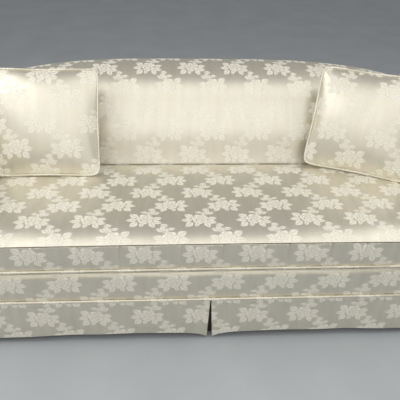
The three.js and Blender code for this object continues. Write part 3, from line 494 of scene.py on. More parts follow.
def damask_material(name="rose_damask"):
    """The figure's share mixes two colours, two roughnesses and two metallic values."""
    material, tree, shader = new_material(name)
    cloth = add_node(tree, "ShaderNodeUVMap", uv_map="cloth").outputs[0]
    figure = use_group(tree, FIGURE, {"Cloth": cloth})
    # Painted sheen: a stretched noise tints the cloth lighter and darker in long bands along the threads.
    painted_sheen = scaled_noise(tree, cloth, SHEEN_BAND_SCALE)
    weave = scaled_noise(tree, cloth, WEAVE_SCALE, detail=0.0)
    shade = tinted(tree, mixed_color(tree, figure, GROUND_COLOR, FIGURE_COLOR), painted_sheen, SHEEN_BAND_DEPTH)
    shade = tinted(tree, shade, weave, WEAVE_TINT)
    roughness = blended(tree, figure, GROUND_ROUGHNESS, FIGURE_ROUGHNESS)
    finish_surface(tree, shader, shade, roughness, weave, WEAVE_BUMP)
    feed(tree, shader.inputs["Metallic"], blended(tree, figure, GROUND_METALLIC, FIGURE_METALLIC))
    return material


DAMASK = damask_material()
print("damask has", len(DAMASK.node_tree.nodes), "nodes beside its figure")

# %% [markdown]
# ## The other finishes
#
# Everything under the cloth has a plainer finish: sawn hardwood with its grain along the board,
# sprung wire, jute webbing, deck cloth, black cambric, nylon and the zip. Each is a noise or a pair
# of crossed waves that shifts colour, roughness and bump together.

# %% Grained finishes
WOOD = {
    "dark": (0.20, 0.11, 0.05), "light": (0.45, 0.28, 0.14),
    "roughness": (0.55, 0.8), "bump": 0.0004, "distortion": 0.6,
}
RAMP_ENDS = (0.3, 0.7)


def grained_material(name, scale, dark, light, roughness, bump, metallic=0.0, distortion=0.0):
    """Two colours mixed by a noise stretched by a scale, which also raises the surface."""
    material, tree, shader = new_material(name)
    place = add_node(tree, "ShaderNodeTexCoord").outputs["Object"]
    place = add_node(tree, "ShaderNodeMapping", {"Vector": place, "Scale": scale}).outputs[0]
    noise = add_node(tree, "ShaderNodeTexNoise", {
        "Vector": place, "Scale": 1.0, "Detail": 4.0, "Distortion": distortion}).outputs[0]
    ramp = add_node(tree, "ShaderNodeValToRGB", {0: noise})
    for element, position, color in zip(ramp.color_ramp.elements, RAMP_ENDS, (dark, light)):
        element.position = position
        element.color = (*color, 1)
    finish_surface(tree, shader, ramp.outputs[0], blended(tree, noise, *roughness), noise, bump)
    shader.inputs["Metallic"].default_value = metallic
    return material


HARDWOOD = grained_material("sawn_hardwood", (3, 60, 60), **WOOD)
HARDWOOD_UPRIGHT = grained_material("sawn_hardwood_upright", (60, 60, 3), **WOOD)
HARDWOOD_DEEP = grained_material("sawn_hardwood_deep", (60, 3, 60), **WOOD)
SPRING_STEEL = grained_material(
    "spring_wire", (90, 90, 90), (0.16, 0.16, 0.17), (0.34, 0.34, 0.35), (0.28, 0.5), 0.00005, metallic=0.9)
NYLON = grained_material(
    "nylon", (220, 220, 220), (0.62, 0.58, 0.48), (0.74, 0.70, 0.60), (0.4, 0.55), 0.00004)
# A dark cord's finish, painted shade: it stands for the shadow in the crease of the cushion's top seam.
SEAM_SHADE_CORD = grained_material(
    "seam_shade_cord", (400, 400, 400), (0.10, 0.09, 0.07), (0.16, 0.145, 0.115), (0.75, 0.9), 0.0001)

# %% [markdown]
# A plain weave is threads over and under each other. Two sines, one along each thread, multiplied,
# are high where a thread lies on top and low where it dives under.

# %% Woven finishes
PATCH_SCALE, PATCH_TINT, PATCH_ROUGHNESS = (60, 60, 60), 0.15, 0.08


def woven_material(name, dark, light, threads, roughness, bump, on_cloth=True):
    """Two crossed sines, over and under along two axes of the cloth or of the object, and a soft noise."""
    material, tree, shader = new_material(name)
    if on_cloth:
        place = add_node(tree, "ShaderNodeUVMap", uv_map="cloth").outputs[0]
    else:
        place = add_node(tree, "ShaderNodeTexCoord").outputs["Object"]
    split = add_node(tree, "ShaderNodeSeparateXYZ", {0: place}).outputs
    waves = [
        calc(tree, "SINE", calc(tree, "MULTIPLY", split[axis], 2 * np.pi * threads))
        for axis in ((0, 1) if on_cloth else (0, 2))]
    height = calc(tree, "MULTIPLY", *waves)
    color = mixed_color(tree, calc(tree, "MULTIPLY_ADD", height, 0.5, 0.5), dark, light)
    patches = scaled_noise(tree, place, PATCH_SCALE)
    uneven = blended(tree, patches, roughness - PATCH_ROUGHNESS, roughness + PATCH_ROUGHNESS)
    finish_surface(tree, shader, tinted(tree, color, patches, PATCH_TINT), uneven, height, bump)
    return material


JUTE = woven_material(
    "jute_webbing", (0.20, 0.13, 0.06), (0.46, 0.34, 0.18), 260, 0.9, 0.0006, on_cloth=False)
TICKING = woven_material("deck_ticking", (0.50, 0.45, 0.34), (0.68, 0.63, 0.50), 700, 0.85, 0.0002)
# Nearly black: painted shade for the deep gap behind each pleat, worn by the underlays.
PLEAT_PAINTED_SHADE = woven_material("pleat_painted_shade", (0.028, 0.026, 0.022), (0.05, 0.046, 0.04), 900, 0.9, 0.0001)
CAMBRIC = woven_material("black_cambric", (0.012, 0.012, 0.013), (0.03, 0.03, 0.032), 900, 0.9, 0.0001)
print("materials", len(bpy.data.materials))

# %% [markdown]
# ## From surfaces to pieces
#
# A piece is a mesh with a finish, the body that it rides on and the solids that it stands for.
# Points that the joined surfaces share are merged first, which closes the form. Then the faces are
# turned outwards, because mirrored and reversed grids wind both ways.

# %% Pieces
MERGE_DISTANCE = 2e-6
SMOOTH_BELOW = np.radians(50)


def make_mesh(name, surface):
    """A mesh with its cloth coordinates as a UV map, shared points merged and faces turned outwards."""
    points, faces, cloth = surface
    mesh = bpy.data.meshes.new(name)
    mesh.from_pydata(points.tolist(), [], faces)
    layer = mesh.uv_layers.new(name="cloth")
    layer.data.foreach_set("uv", np.ascontiguousarray(cloth, dtype=np.float32).ravel())
    work = bmesh.new()
    work.from_mesh(mesh)
    bmesh.ops.remove_doubles(work, verts=work.verts, dist=MERGE_DISTANCE)
    bmesh.ops.recalc_face_normals(work, faces=work.faces)
    work.to_mesh(mesh)
    work.free()
    mesh.polygons.foreach_set("use_smooth", np.ones(len(mesh.polygons), dtype=bool))
    mesh.set_sharp_from_angle(angle=SMOOTH_BELOW)
    return mesh


def add_piece(name, surface, replaced=(), body=FRAME_BODY, material=DAMASK):
    """A piece with its finish and body; the solids that it stands for are hidden."""
    piece = bpy.data.objects.new(name, make_mesh(name, surface))
    bpy.context.collection.objects.link(piece)
    piece.data.materials.append(material)
    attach(piece, body)
    if replaced:
        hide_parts(*replaced)
    print(name, len(piece.data.polygons), "faces")
    return piece


# %% [markdown]
# ## Welts
#
# A welt is a cord in a bias strip of the same cloth, sewn into a seam. It is a circle carried along
# the seam's line. Each circle stands across the line, between the line's sideways direction and
# the direction that points away from the seam.

# %% Welt
WELT_SIDES = 12


def welt_surface(path, radius, facing, closed=True):
    """Circles of one radius, square to the path, turned so that their first axis lies near facing."""
    if closed:
        along = np.roll(path, -1, axis=0) - np.roll(path, 1, axis=0)
    else:
        along = np.gradient(path, axis=0)
    along = along / np.linalg.norm(along, axis=1, keepdims=True)
    facing = np.broadcast_to(facing, path.shape)
    first = facing - along * (facing * along).sum(axis=1, keepdims=True)
    first = first / np.linalg.norm(first, axis=1, keepdims=True)
    second = np.cross(along, first)
    turn = np.linspace(0, 2 * np.pi, WELT_SIDES, endpoint=False)[:, None, None]
    points = path + radius * (np.cos(turn) * first + np.sin(turn) * second)
    points = points.transpose(1, 0, 2)
    if closed:
        points, path = closed_ring(points), closed_ring(path)
    around = np.linspace(0, 2 * np.pi, WELT_SIDES + 1) * radius
    cloth = stacked(around[None, :], run_length(path)[:, None])
    return grid_surface(points, cloth, wrap=True) if closed else capped_tube(points, cloth)


# %% [markdown]
# ## The tight back
#
# The inside back is one form: it stands up behind the cushion, rakes back, and turns over the
# crest in a wide arc in front and a tight one behind. Across the sofa the crest falls from its
# middle towards the arms. Each column of the grid is one such section, and the whole face is one
# array over place across and length along the section.

# %% Crest and rear face
CREST_DROP = 0.063
CREST_POWER = 3.4
CREST_FRONT_RADIUS = 0.2
SEAT_HALF_WIDTH = BACK_HALF + TOUCH
ROLL_SPREAD = 1 / np.cos(REAR_RAKE) + np.tan(REAR_RAKE)


def crest_at(x):
    """The crest's height: its middle less the drop times a power of the share of the half width."""
    return CREST_Z - CREST_DROP * np.abs(x / SEAT_HALF_WIDTH) ** CREST_POWER


def rear_face(z, inset=0.0):
    """Depth of the outside back at a height, leaning by the rear rake, less an inset square to it."""
    return REAR_CORNER[1] - (REAR_CORNER[2] - z) * np.tan(REAR_RAKE) - inset / np.cos(REAR_RAKE)


def front_arc(crest, turn):
    """Depth and height on the wide arc before the crest: the raked plane up to its start, then round."""
    start = crest - CREST_FRONT_RADIUS * (1 - np.sin(RAKE))
    middle = BACK_FOOT_Y + (start - SEAT_Z) * np.tan(RAKE) + CREST_FRONT_RADIUS * np.cos(RAKE)
    return middle - CREST_FRONT_RADIUS * np.cos(turn), crest - CREST_FRONT_RADIUS * (1 - np.sin(turn))


def roll_radius(crest):
    """The rear roll touches both the crest's highest line and the rear face."""
    return (rear_face(crest) - front_arc(crest, np.pi / 2)[0]) / ROLL_SPREAD


print("the rear roll's radius is", round(float(roll_radius(CREST_Z)) * 1000, 1), "mm in the middle")

# %% [markdown]
# Between the foot and the arc the stuffing swells the raked plane. The swell is the square of a
# sine, so it meets the arc without a crease.

# %% Front of the back
BACK_BULGE = 0.016
FOOT_POINTS, FACE_POINTS, ARC_POINTS, ROLL_POINTS = 6, 44, 30, 30


def back_face(x):
    """Depth and height of the face for each x, from its foot over the crest to the tail of the roll."""
    x = x[:, None]
    crest = crest_at(x)
    middle = front_arc(crest, np.pi / 2)[0]
    radius = roll_radius(crest)
    foot_z = np.linspace(CUSHION_BOTTOM, SEAT_Z, FOOT_POINTS)[None, :] * np.ones_like(x)
    foot_y = BACK_FOOT_Y * np.ones_like(foot_z)
    share = np.linspace(0, 1, FACE_POINTS + 1)[None, 1:-1]
    start_y, start_z = front_arc(crest, RAKE)
    puff = BACK_BULGE * np.sin(share * np.pi) ** 2
    face_y = BACK_FOOT_Y + share * (start_y - BACK_FOOT_Y) - puff * np.cos(RAKE)
    face_z = SEAT_Z + share * (start_z - SEAT_Z) + puff * np.sin(RAKE)
    arc_y, arc_z = front_arc(crest, np.linspace(RAKE, np.pi / 2, ARC_POINTS)[None, :])
    turn = np.linspace(np.pi / 2, np.pi + REAR_RAKE, ROLL_POINTS)[None, 1:]
    roll_y = middle - radius * np.cos(turn)
    roll_z = crest - radius * (1 - np.sin(turn))
    return np.hstack([foot_y, face_y, arc_y, roll_y]), np.hstack([foot_z, face_z, arc_z, roll_z])


# %% [markdown]
# Behind, the stuffing lies over the crest rail and along the webbing. The rear line follows both,
# and a strip joins it to the face, so the back is one closed form.

# %% Rear of the back
RAIL_RISE = 0.015
RAIL_HEIGHT = 0.09
RAIL_REAR_IN = 0.0097
RAIL_FRONT_IN = 0.0446
WEB_TURN_DROP = 0.049
PAD_FOOT = 0.08
PAD_TURN_THICKNESS = 0.18


def pad_rear(x):
    """The pad's rear line for each x: over the crest rail, down its front, then along the webbing."""
    x = x[:, None]
    crest = crest_at(x)
    rail_top = crest - roll_radius(crest) + RAIL_RISE + TOUCH
    rail_low = rail_top - TOUCH - RAIL_HEIGHT
    turn = rail_low - WEB_TURN_DROP
    end_crest = crest_at(BACK_HALF)
    end_turn = end_crest - roll_radius(end_crest) + RAIL_RISE - RAIL_HEIGHT - WEB_TURN_DROP
    at_turn = max(0, end_turn - SEAT_Z) * np.tan(RAKE) + PAD_TURN_THICKNESS
    slope = (at_turn - PAD_FOOT) / (end_turn - CUSHION_BOTTOM)
    ys = [
        rear_face(rail_top, RAIL_REAR_IN),
        rear_face(rail_top, RAIL_FRONT_IN),
        rear_face(rail_low, RAIL_FRONT_IN),
        BACK_FOOT_Y + PAD_FOOT + (turn - CUSHION_BOTTOM) * slope,
        BACK_FOOT_Y + PAD_FOOT * np.ones_like(x),
    ]
    return np.hstack(ys), np.hstack([rail_top, rail_top, rail_low, turn, CUSHION_BOTTOM * np.ones_like(x)])


# %% [markdown]
# The cloth's length is measured once, along the section in the sofa's middle. Every other section
# has its roses at the same points of the grid, so the rows follow the fall of the crest.

# %% The back as one form
BACK_COLUMNS = 181
BACK_CLOTH_ACROSS = 0.1332
BACK_CLOTH_UP = 0.164
BACK_CLOTH_NARROWED = 0.185 / REPEAT


def inside_back():
    """The face and the rear line of every section make one ring, carried across the sofa."""
    xs = np.linspace(-BACK_HALF, BACK_HALF, BACK_COLUMNS)
    ys, zs = (np.hstack(lines) for lines in zip(back_face(xs), pad_rear(xs)))
    points = stacked(xs[:, None], ys, zs)
    length = run_length(closed_ring(points[len(xs) // 2])) - BACK_CLOTH_UP
    across = (xs - BACK_CLOTH_ACROSS) / BACK_CLOTH_NARROWED
    return capped_tube(points, stacked(across[:, None], length[None, :]))


add_piece("inside_back", inside_back(), ("inside_back_cover", "inside_back_pad"))

# %% [markdown]
# ## The rolled arms
#
# An arm's cover rises from the deck, swells out a little, and turns over a round roll to the
# outside. The section is the same all along the arm; it starts behind the arm's front panel and
# ends on the leaning plane of the back.

# %% Arm section
ARM_RADIUS = 0.092
ARM_X = REAR_CORNER[0] - ARM_RADIUS
ARM_Z = ARM_TOP - ARM_RADIUS
ARM_RECESS = 0.007
ARM_WALL_SHARE = 0.62
ARM_FRONT = 0.0163
ARM_REAR_IN = 0.0103
ARM_UNDER = np.arccos((OUTSIDE_ARM_X - ARM_X) / ARM_RADIUS)


def arm_line(bottom, wall_count=24, arc_count=60):
    """Across and up: straight to the wall's top, eased out by the recess, then round the roll."""
    wall_x = ARM_X - ARM_RADIUS - ARM_RECESS
    z = np.linspace(bottom, ARM_Z, wall_count)
    top = CUSHION_BOTTOM + (ARM_Z - CUSHION_BOTTOM) * ARM_WALL_SHARE
    share = np.clip((z - top) / (ARM_Z - top), 0, 1)
    x = wall_x + ARM_RECESS * share * share * (3 - 2 * share)
    turn = np.linspace(np.pi, -ARM_UNDER, arc_count)[1:]
    return (
        np.concatenate([x, ARM_X + ARM_RADIUS * np.cos(turn)]),
        np.concatenate([z, ARM_Z + ARM_RADIUS * np.sin(turn)]),
    )


def along_arm(share, z):
    """Depth at a share of the arm's length, from behind its front panel to the leaning back."""
    first = FRONT_Y + ARM_FRONT
    return first + share * (rear_face(z, ARM_REAR_IN) - first)


print("the roll's middle is", round(float(ARM_X), 3), "m out and", round(float(ARM_Z), 3), "m up")


# %% [markdown]
# Under the cover lies the stuffing, and under that the arm's top rail. So the ring runs out over the
# roll and back round the rail, and the arm is one closed form with the rail left free.

# %% Arms
ARM_RAIL_HALF = 0.0603
ARM_RAIL_DROP = 0.03
ARM_WALL_BACK = 0.0283
ARM_ROWS = 60
ARM_CLOTH_UP = 0.095


def arm_surface(side):
    """Cover and stuffing in one ring: the cover's line out, then back round the arm's top rail."""
    xs, zs = arm_line(CUSHION_BOTTOM)
    inner_wall = SEAT_HALF_WIDTH + ARM_WALL_BACK
    low, high = ARM_Z - ARM_RAIL_DROP, ARM_Z + TOUCH
    right, left = ARM_X + ARM_RAIL_HALF, ARM_X - ARM_RAIL_HALF
    xs = np.concatenate([xs, [right, right, left, left, inner_wall, inner_wall]])
    zs = np.concatenate([zs, [low, high, high, low, low, CUSHION_BOTTOM]])
    ys = along_arm(np.linspace(0, 1, ARM_ROWS)[:, None], zs[None, :])
    points = stacked(side * xs, ys, zs)
    up = run_length(closed_ring(points[0])) - ARM_CLOTH_UP
    across = -side * (np.hstack([ys, ys[:, :1]]) - FRONT_Y)
    return capped_tube(points, stacked(across, up[None, :]))


for name, side in SIDES:
    add_piece(f"{name}_arm", arm_surface(side), (f"{name}_inside_arm_cover", f"{name}_arm_pad"))

# %% [markdown]
# ## Arm fronts
#
# The arm's front is a padded panel cut to the arm's outline. It is drawn in rings: each outline
# point is joined to the nearest point of a short spine in the panel's middle, and the rings step
# from the rim to the spine while the depth swells. A welt runs round the rim.

# %% Panels drawn in rings
PANEL_RINGS = 12
PANEL_INNER_SHARE = 0.92
RIM_POINTS = 5


def panel_rings(outline, spine, depth, rim, puff):
    """Rings from the rim's rear edge over a quarter round to the swollen middle, and their depths."""
    turn = np.linspace(0, np.pi / 2, RIM_POINTS)
    inward = np.concatenate([[0.0], rim * (1 - np.cos(turn))])
    span = np.linalg.norm(outline - spine, axis=1, keepdims=True)
    rings = [outline + (spine - outline) * (step / span) for step in inward]
    shares = np.linspace(0, PANEL_INNER_SHARE, PANEL_RINGS)[1:]
    start = rings[-1]
    rings += [start + (spine - start) * share for share in shares]
    behind = np.concatenate([[depth], rim * (1 - np.sin(turn)), -puff * np.sin(shares * np.pi / 2)])
    return np.stack(rings), behind[:, None]


def wrapped(rings):
    """Rings with their first column added again at the end."""
    return np.concatenate([rings, rings[:, :1]], axis=1)


print("a panel has", RIM_POINTS + PANEL_RINGS, "rings")


# %% [markdown]
# The outline is the arm's own line, carried down its outside. The spine stands in the middle of the
# panel and leans into the roll's middle near its top.

# %% Arm fronts and their welts
ARM_PANEL_RIM = 0.005
ARM_PANEL_PUFF = 0.003
ARM_WELT_RADIUS = 0.0042
ARM_OUTSIDE_STEPS, OUTLINE_WALL_POINTS = 30, 50
SPINE_LOW, SPINE_BEND, SPINE_HIGH = 0.28, 0.5, 0.638


def down_the_side(xs, zs):
    """A line that ends on the outside arm, carried straight down to the covers' lower edge."""
    down = np.linspace(zs[-1], COVER_BOTTOM, ARM_OUTSIDE_STEPS)[1:]
    return np.concatenate([xs, np.full_like(down, OUTSIDE_ARM_X)]), np.concatenate([zs, down])


def arm_front_surface(side):
    """Rings between the outline and a spine that stands in the panel and leans into the roll's middle."""
    xs, zs = down_the_side(*arm_line(COVER_BOTTOM, wall_count=OUTLINE_WALL_POINTS))
    height = np.clip(zs, SPINE_LOW, SPINE_HIGH)
    lean = np.clip((height - SPINE_BEND) / (SPINE_HIGH - SPINE_BEND), 0, 1)
    middle = (SEAT_HALF_WIDTH + OUTSIDE_ARM_X) / 2
    spine = stacked(middle + (ARM_X - middle) * lean, height)
    rings, behind = panel_rings(stacked(xs, zs), spine, ARM_FRONT - TOUCH, ARM_PANEL_RIM, ARM_PANEL_PUFF)
    x, z = side * rings[..., 0], rings[..., 1]
    return capped_tube(stacked(x, FRONT_Y + behind, z), wrapped(stacked(x, z)))


def arm_front_welt(side):
    """The outline again, from skirt to skirt, as a welt that lies in the seam behind the panel."""
    xs, zs = down_the_side(*arm_line(COVER_BOTTOM, wall_count=OUTLINE_WALL_POINTS))
    above = zs > BORDER_BOTTOM + 2 * ARM_WELT_RADIUS
    path = stacked(side * xs[above], FRONT_Y + ARM_FRONT, zs[above])
    return welt_surface(path, ARM_WELT_RADIUS, FORWARD, closed=False)


for name, side in SIDES:
    add_piece(f"{name}_arm_front_panel", arm_front_surface(side), (f"{name}_arm_front",))
    add_piece(f"{name}_arm_front_welt", arm_front_welt(side))

# %% [markdown]
# ## Outside arms
#
# The outside faces are cloth pulled over a thin pad. An outside arm is a slab between its upright
# inner plane and a slightly swollen outer one.

# %% Outside arms
OUTSIDE_ARM_THICKNESS = 0.008
OUTSIDE_PUFF = 0.0025
PANEL_UNDER = 0.0006
OUTSIDE_ARM_COLUMNS, OUTSIDE_ARM_ROWS = 60, 31


def outside_arm_surface(side):
    """A slab on share along and share up; the outer face swells with the product of two sines."""
    shares = (np.linspace(0, 1, count) for count in (OUTSIDE_ARM_COLUMNS, OUTSIDE_ARM_ROWS))
    along, up = np.meshgrid(*shares, indexing="ij")
    inner_x = OUTSIDE_ARM_X - OUTSIDE_ARM_THICKNESS
    top = ARM_Z - np.sqrt(ARM_RADIUS ** 2 - (inner_x - ARM_X) ** 2) - PANEL_UNDER
    z = COVER_BOTTOM + (top - COVER_BOTTOM) * up
    y = along_arm(along, z)
    puff = OUTSIDE_PUFF * np.sin(np.pi * along) * np.sin(np.pi * up)
    outer, inner = (stacked(side * x, y, z) for x in (OUTSIDE_ARM_X + puff, inner_x))
    return slab(outer, inner, stacked(side * (y - FRONT_Y), z))


for name, side in SIDES:
    add_piece(f"{name}_outside_arm_cover", outside_arm_surface(side), (f"{name}_outside_arm",))

# %% [markdown]
# ## Outside back
#
# The outside back is built like the arm's front, in rings, because its outline goes over both arms'
# rolls and under the crest's. It lies on the leaning plane of the rear.

# %% Outside back
OUTSIDE_BACK_THICKNESS = 0.01
OUTSIDE_BACK_RIM = 0.004
OUTSIDE_BACK_PUFF = 0.004
OUTSIDE_SPINE_HALF = 0.80
OUTSIDE_SPINE_Z = 0.45
ROLL_STEPS_INSIDE, OUTLINE_ARC_POINTS = 26, 50
TAIL_POINTS, LOW_EDGE_POINTS = 121, 91


def outside_back_outline():
    """Up one side, over that arm's roll, along under the crest's roll and down the other side."""
    arm_xs, arm_zs = arm_line(COVER_BOTTOM, arc_count=OUTLINE_ARC_POINTS)
    arc = arm_zs.argmax() - ROLL_STEPS_INSIDE
    right_x, right_z = down_the_side(arm_xs[arc:], arm_zs[arc:])
    tail_x = np.linspace(-BACK_HALF, BACK_HALF, TAIL_POINTS)
    crest = crest_at(tail_x)
    tail_z = crest - roll_radius(crest) * (1 + np.sin(REAR_RAKE)) - PANEL_UNDER
    low_x = np.linspace(OUTSIDE_ARM_X, -OUTSIDE_ARM_X, LOW_EDGE_POINTS)[1:-1]
    return (
        np.concatenate([-right_x[::-1], tail_x, right_x, low_x]),
        np.concatenate([right_z[::-1], tail_z, right_z, np.full_like(low_x, COVER_BOTTOM)]),
    )


def outside_back_surface():
    """Rings between the outline and a level spine, laid on the leaning plane."""
    xs, zs = outside_back_outline()
    spine = stacked(np.clip(xs, -OUTSIDE_SPINE_HALF, OUTSIDE_SPINE_HALF), OUTSIDE_SPINE_Z)
    rings, behind = panel_rings(
        stacked(xs, zs), spine, OUTSIDE_BACK_THICKNESS, OUTSIDE_BACK_RIM, OUTSIDE_BACK_PUFF)
    x, z = rings[..., 0], rings[..., 1]
    points = stacked(x, rear_face(z) - behind / np.cos(REAR_RAKE), z)
    return capped_tube(points, wrapped(stacked(-x, z / np.cos(REAR_RAKE))))


add_piece("outside_back_cover", outside_back_surface(), ("outside_back",))

# %% [markdown]
# ## Front border
#
# Under the cushion the border rises from the skirt, rolls over a firm edge and runs back under the
# cushion, where the deck cloth takes over. One section in depth and height is carried straight
# across between the arms. Pulled cloth is never quite straight, so two long soft waves are added.

# %% Border
NOSE_RADIUS = 0.03
NOSE_SINK = 0.007
NOSE_TOP_SINK = NOSE_SINK / 3
NOSE_TOP_DEPTH, NOSE_DEPTH = 0.07, 0.103
NOSE_POINTS, BORDER_FACE_POINTS = 14, 16
DECK_THICKNESS = 0.028
RAIL_TOP = 0.284
EDGE_SEAT = 0.0293
BORDER_COLUMNS = 161
BORDER_CLOTH_ACROSS = -0.0363
BORDER_ROSE_Z = 0.2885
BORDER_WAVE = 0.0012
BORDER_WAVES = ((11.0, 0.0, 1.0), (23.0, 1.0, 0.6))


def ripple(places, waves):
    """A sum of sines: each has its radians per metre, its phase and its size."""
    return sum(size * np.sin(places * pace + phase) for pace, phase, size in waves)


def border_section():
    """Depth behind the front and height: face, quarter round and top, then back under the edge roll."""
    top = CUSHION_BOTTOM - TOUCH
    crown = top - NOSE_SINK
    turn = np.linspace(0, np.pi / 2, NOSE_POINTS)
    face_z = np.linspace(COVER_BOTTOM, crown - NOSE_RADIUS, BORDER_FACE_POINTS)[:-1]
    nose_y, nose_z = NOSE_RADIUS * (1 - np.cos(turn)), crown - NOSE_RADIUS * (1 - np.sin(turn))
    panel, rail, deck = ARM_FRONT - TOUCH, RAIL_TOP + TOUCH, top - DECK_THICKNESS
    under_y = [NOSE_TOP_DEPTH, NOSE_DEPTH, NOSE_DEPTH, EDGE_SEAT, EDGE_SEAT, panel, panel]
    under_z = [top - NOSE_TOP_SINK, top, deck, deck, rail, rail, COVER_BOTTOM]
    return (
        np.concatenate([np.zeros_like(face_z), nose_y, under_y]),
        np.concatenate([face_z, nose_z, under_z]),
    )


def border_surface():
    """The section carried across; the waves move its face, most at half its height."""
    ys, zs = border_section()
    xs = np.linspace(-BACK_HALF, BACK_HALF, BORDER_COLUMNS)[:, None]
    up_face = np.clip((zs - BORDER_BOTTOM) / BORDER_HEIGHT, 0, 1)
    face = np.clip(1 - ys / NOSE_RADIUS, 0, 1) * np.sin(np.pi * up_face)
    points = stacked(xs, FRONT_Y + ys + BORDER_WAVE * ripple(xs, BORDER_WAVES) * face, zs)
    up = run_length(closed_ring(points[0])) + COVER_BOTTOM - BORDER_ROSE_Z + ROW
    return capped_tube(points, stacked(xs - BORDER_CLOTH_ACROSS, up[None, :]))


add_piece("front_border", border_surface(), ("front_border_cover", "front_edge_roll"))

# %% [markdown]
# ## The deck
#
# The cushion lies on a flat pad under plain woven cloth. It is seen only when the cushion is lifted.
# Its top sinks by a hair towards its middle, as sprung pads do.

# %% Deck
DECK_TOP_EASE = 0.0006
DECK_GRID = (81, 31)


def box_sheet(box, grid, dip, power):
    """X, Y and a dip on a grid over a box's plan: the dip is a power of the product of two sines."""
    (x0, y0, _), (x1, y1, _) = box
    x, y = np.meshgrid(np.linspace(x0, x1, grid[0]), np.linspace(y0, y1, grid[1]))
    across, along = np.sin(np.pi * (x - x0) / (x1 - x0)), np.sin(np.pi * (y - y0) / (y1 - y0))
    return x, y, dip * (across * along) ** power


def deck_surface():
    """A slab whose top sinks towards its middle and whose underside is flat."""
    low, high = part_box("deck_pad")
    x, y, sink = box_sheet((low, high), DECK_GRID, DECK_TOP_EASE, 1)
    return slab(stacked(x, y, high[2] - sink), stacked(x, y, low[2]), stacked(x, y))


add_piece("deck", deck_surface(), ("deck_pad",), material=TICKING)

# %% [markdown]
# ## The seat cushion
#
# A boxed cushion is a crowned top, an underside that turns up at its welt and a strip of cloth
# between them. The top and the underside are square grids whose corners are pressed into quarter
# circles. The boxing runs from the top's edge to the underside's. A simulation would blur its
# seams, so the whole cushion is worked out.

# %% Cushion plan and crown
CUSHION_MIDDLE_Y = (CUSHION_FRONT + CUSHION_REAR) / 2
CUSHION_HALF_Y = (CUSHION_REAR - CUSHION_FRONT) / 2
CUSHION_CORNER = 0.04
CROWN_RISE = 0.031
CROWN_POWER = 6
CROWN_BLEND = 0.02
SEAT_UNEVEN = 0.0012
LONG_WAVE_X, LONG_WAVE_Y = (9.0, 1.0), (13.0, 0.5)
SHORT_WAVE_X, SHORT_WAVE_Y, SHORT_WAVE_SHARE = 21.0, 8.0, 0.5


def corner_pressed(s, t, half_x, half_y, radius):
    """A square grid pressed into a rectangle with round corners, by the square-to-disc map there."""
    x, y = s * half_x, t * half_y
    p = np.clip((np.abs(x) - (half_x - radius)) / radius, 0, 1)
    q = np.clip((np.abs(y) - (half_y - radius)) / radius, 0, 1)
    x = np.sign(x) * (np.minimum(np.abs(x), half_x - radius) + radius * p * np.sqrt(1 - q * q / 2))
    y = np.sign(y) * (np.minimum(np.abs(y), half_y - radius) + radius * q * np.sqrt(1 - p * p / 2))
    return x, y


def crown_over(x, y):
    """Height over the seam: rises with a power of the distance from the edge, eased at the corners."""
    to_x, to_y = CUSHION_HALF_X - np.abs(x), CUSHION_HALF_Y - np.abs(y)
    nearest = -CROWN_BLEND * np.log(np.exp(-to_x / CROWN_BLEND) + np.exp(-to_y / CROWN_BLEND))
    share = np.clip(nearest / CUSHION_HALF_Y, 0, 1)
    return CROWN_RISE * (1 - (1 - share) ** CROWN_POWER)


def seat_top(x, y):
    """The seat's height at a place: seam, crown and a faint unevenness of the stuffing, in two waves."""
    y = y - CUSHION_MIDDLE_Y
    crown = crown_over(x, y)
    long_wave = np.sin(x * LONG_WAVE_X[0] + LONG_WAVE_X[1]) * np.sin(y * LONG_WAVE_Y[0] + LONG_WAVE_Y[1])
    short_wave = SHORT_WAVE_SHARE * np.sin(x * SHORT_WAVE_X - y * SHORT_WAVE_Y)
    return SEAT_Z + crown + SEAT_UNEVEN * (long_wave + short_wave) * crown / CROWN_RISE


print("seat's middle is", round(float(seat_top(0, CUSHION_MIDDLE_Y)), 3), "m high")

# %% [markdown]
# A grid shows a crease only where it has points. Columns crowd at the folds and at the corners, and
# rows of the boxing crowd at both seams and at the edges of the zip's tape.

# %% Where the grid's points lie
CUSHION_ACROSS, CUSHION_DEEP = 441, 61
FOLD_CROWD_WIDTH, FOLD_CROWD_GAIN, CROWD_SAMPLES = 0.018, 4, 6001
DEEP_CROWD = 0.6
NEAR_TOP_SEAM = (0, 0.006, 0.012, 0.018, 0.026, 0.036, 0.05)
BOXING_MIDDLE = (0.09, 0.91, 14)
NEAR_WELT = (0.95, 0.975, 1)
CUSHION_WELT_RADIUS = 0.0041
CUSHION_WELT_RISE = 0.003
RIM_Z = CUSHION_BOTTOM + CUSHION_WELT_RADIUS + CUSHION_WELT_RISE
ZIP_LOW, ZIP_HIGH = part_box("cushion_zip_tape")
ZIP_FAR, ZIP_NEAR = 0.002, 0.0005
ZIP_HALF = ZIP_HIGH[0] + ZIP_FAR
ZIP_EDGES = (ZIP_LOW[2] - ZIP_FAR, ZIP_LOW[2] - ZIP_NEAR, ZIP_HIGH[2] + ZIP_NEAR, ZIP_HIGH[2] + ZIP_FAR)


def edge_spacing(count, finer):
    """Places from -1 to 1 that crowd towards both ends."""
    even = np.linspace(-1, 1, count)
    return even * (1 - finer) + finer * np.sin(even * np.pi / 2)


def crowded(count, places):
    """Places from -1 to 1, at equal steps of the running sum of a density that rises near some."""
    fine = np.linspace(-1, 1, CROWD_SAMPLES)
    near = np.exp(-((fine[:, None] - np.asarray(places)) / FOLD_CROWD_WIDTH) ** 2).sum(axis=1)
    total = np.cumsum(1 + FOLD_CROWD_GAIN * near)
    return np.interp(np.linspace(total[0], total[-1], count), total, fine)


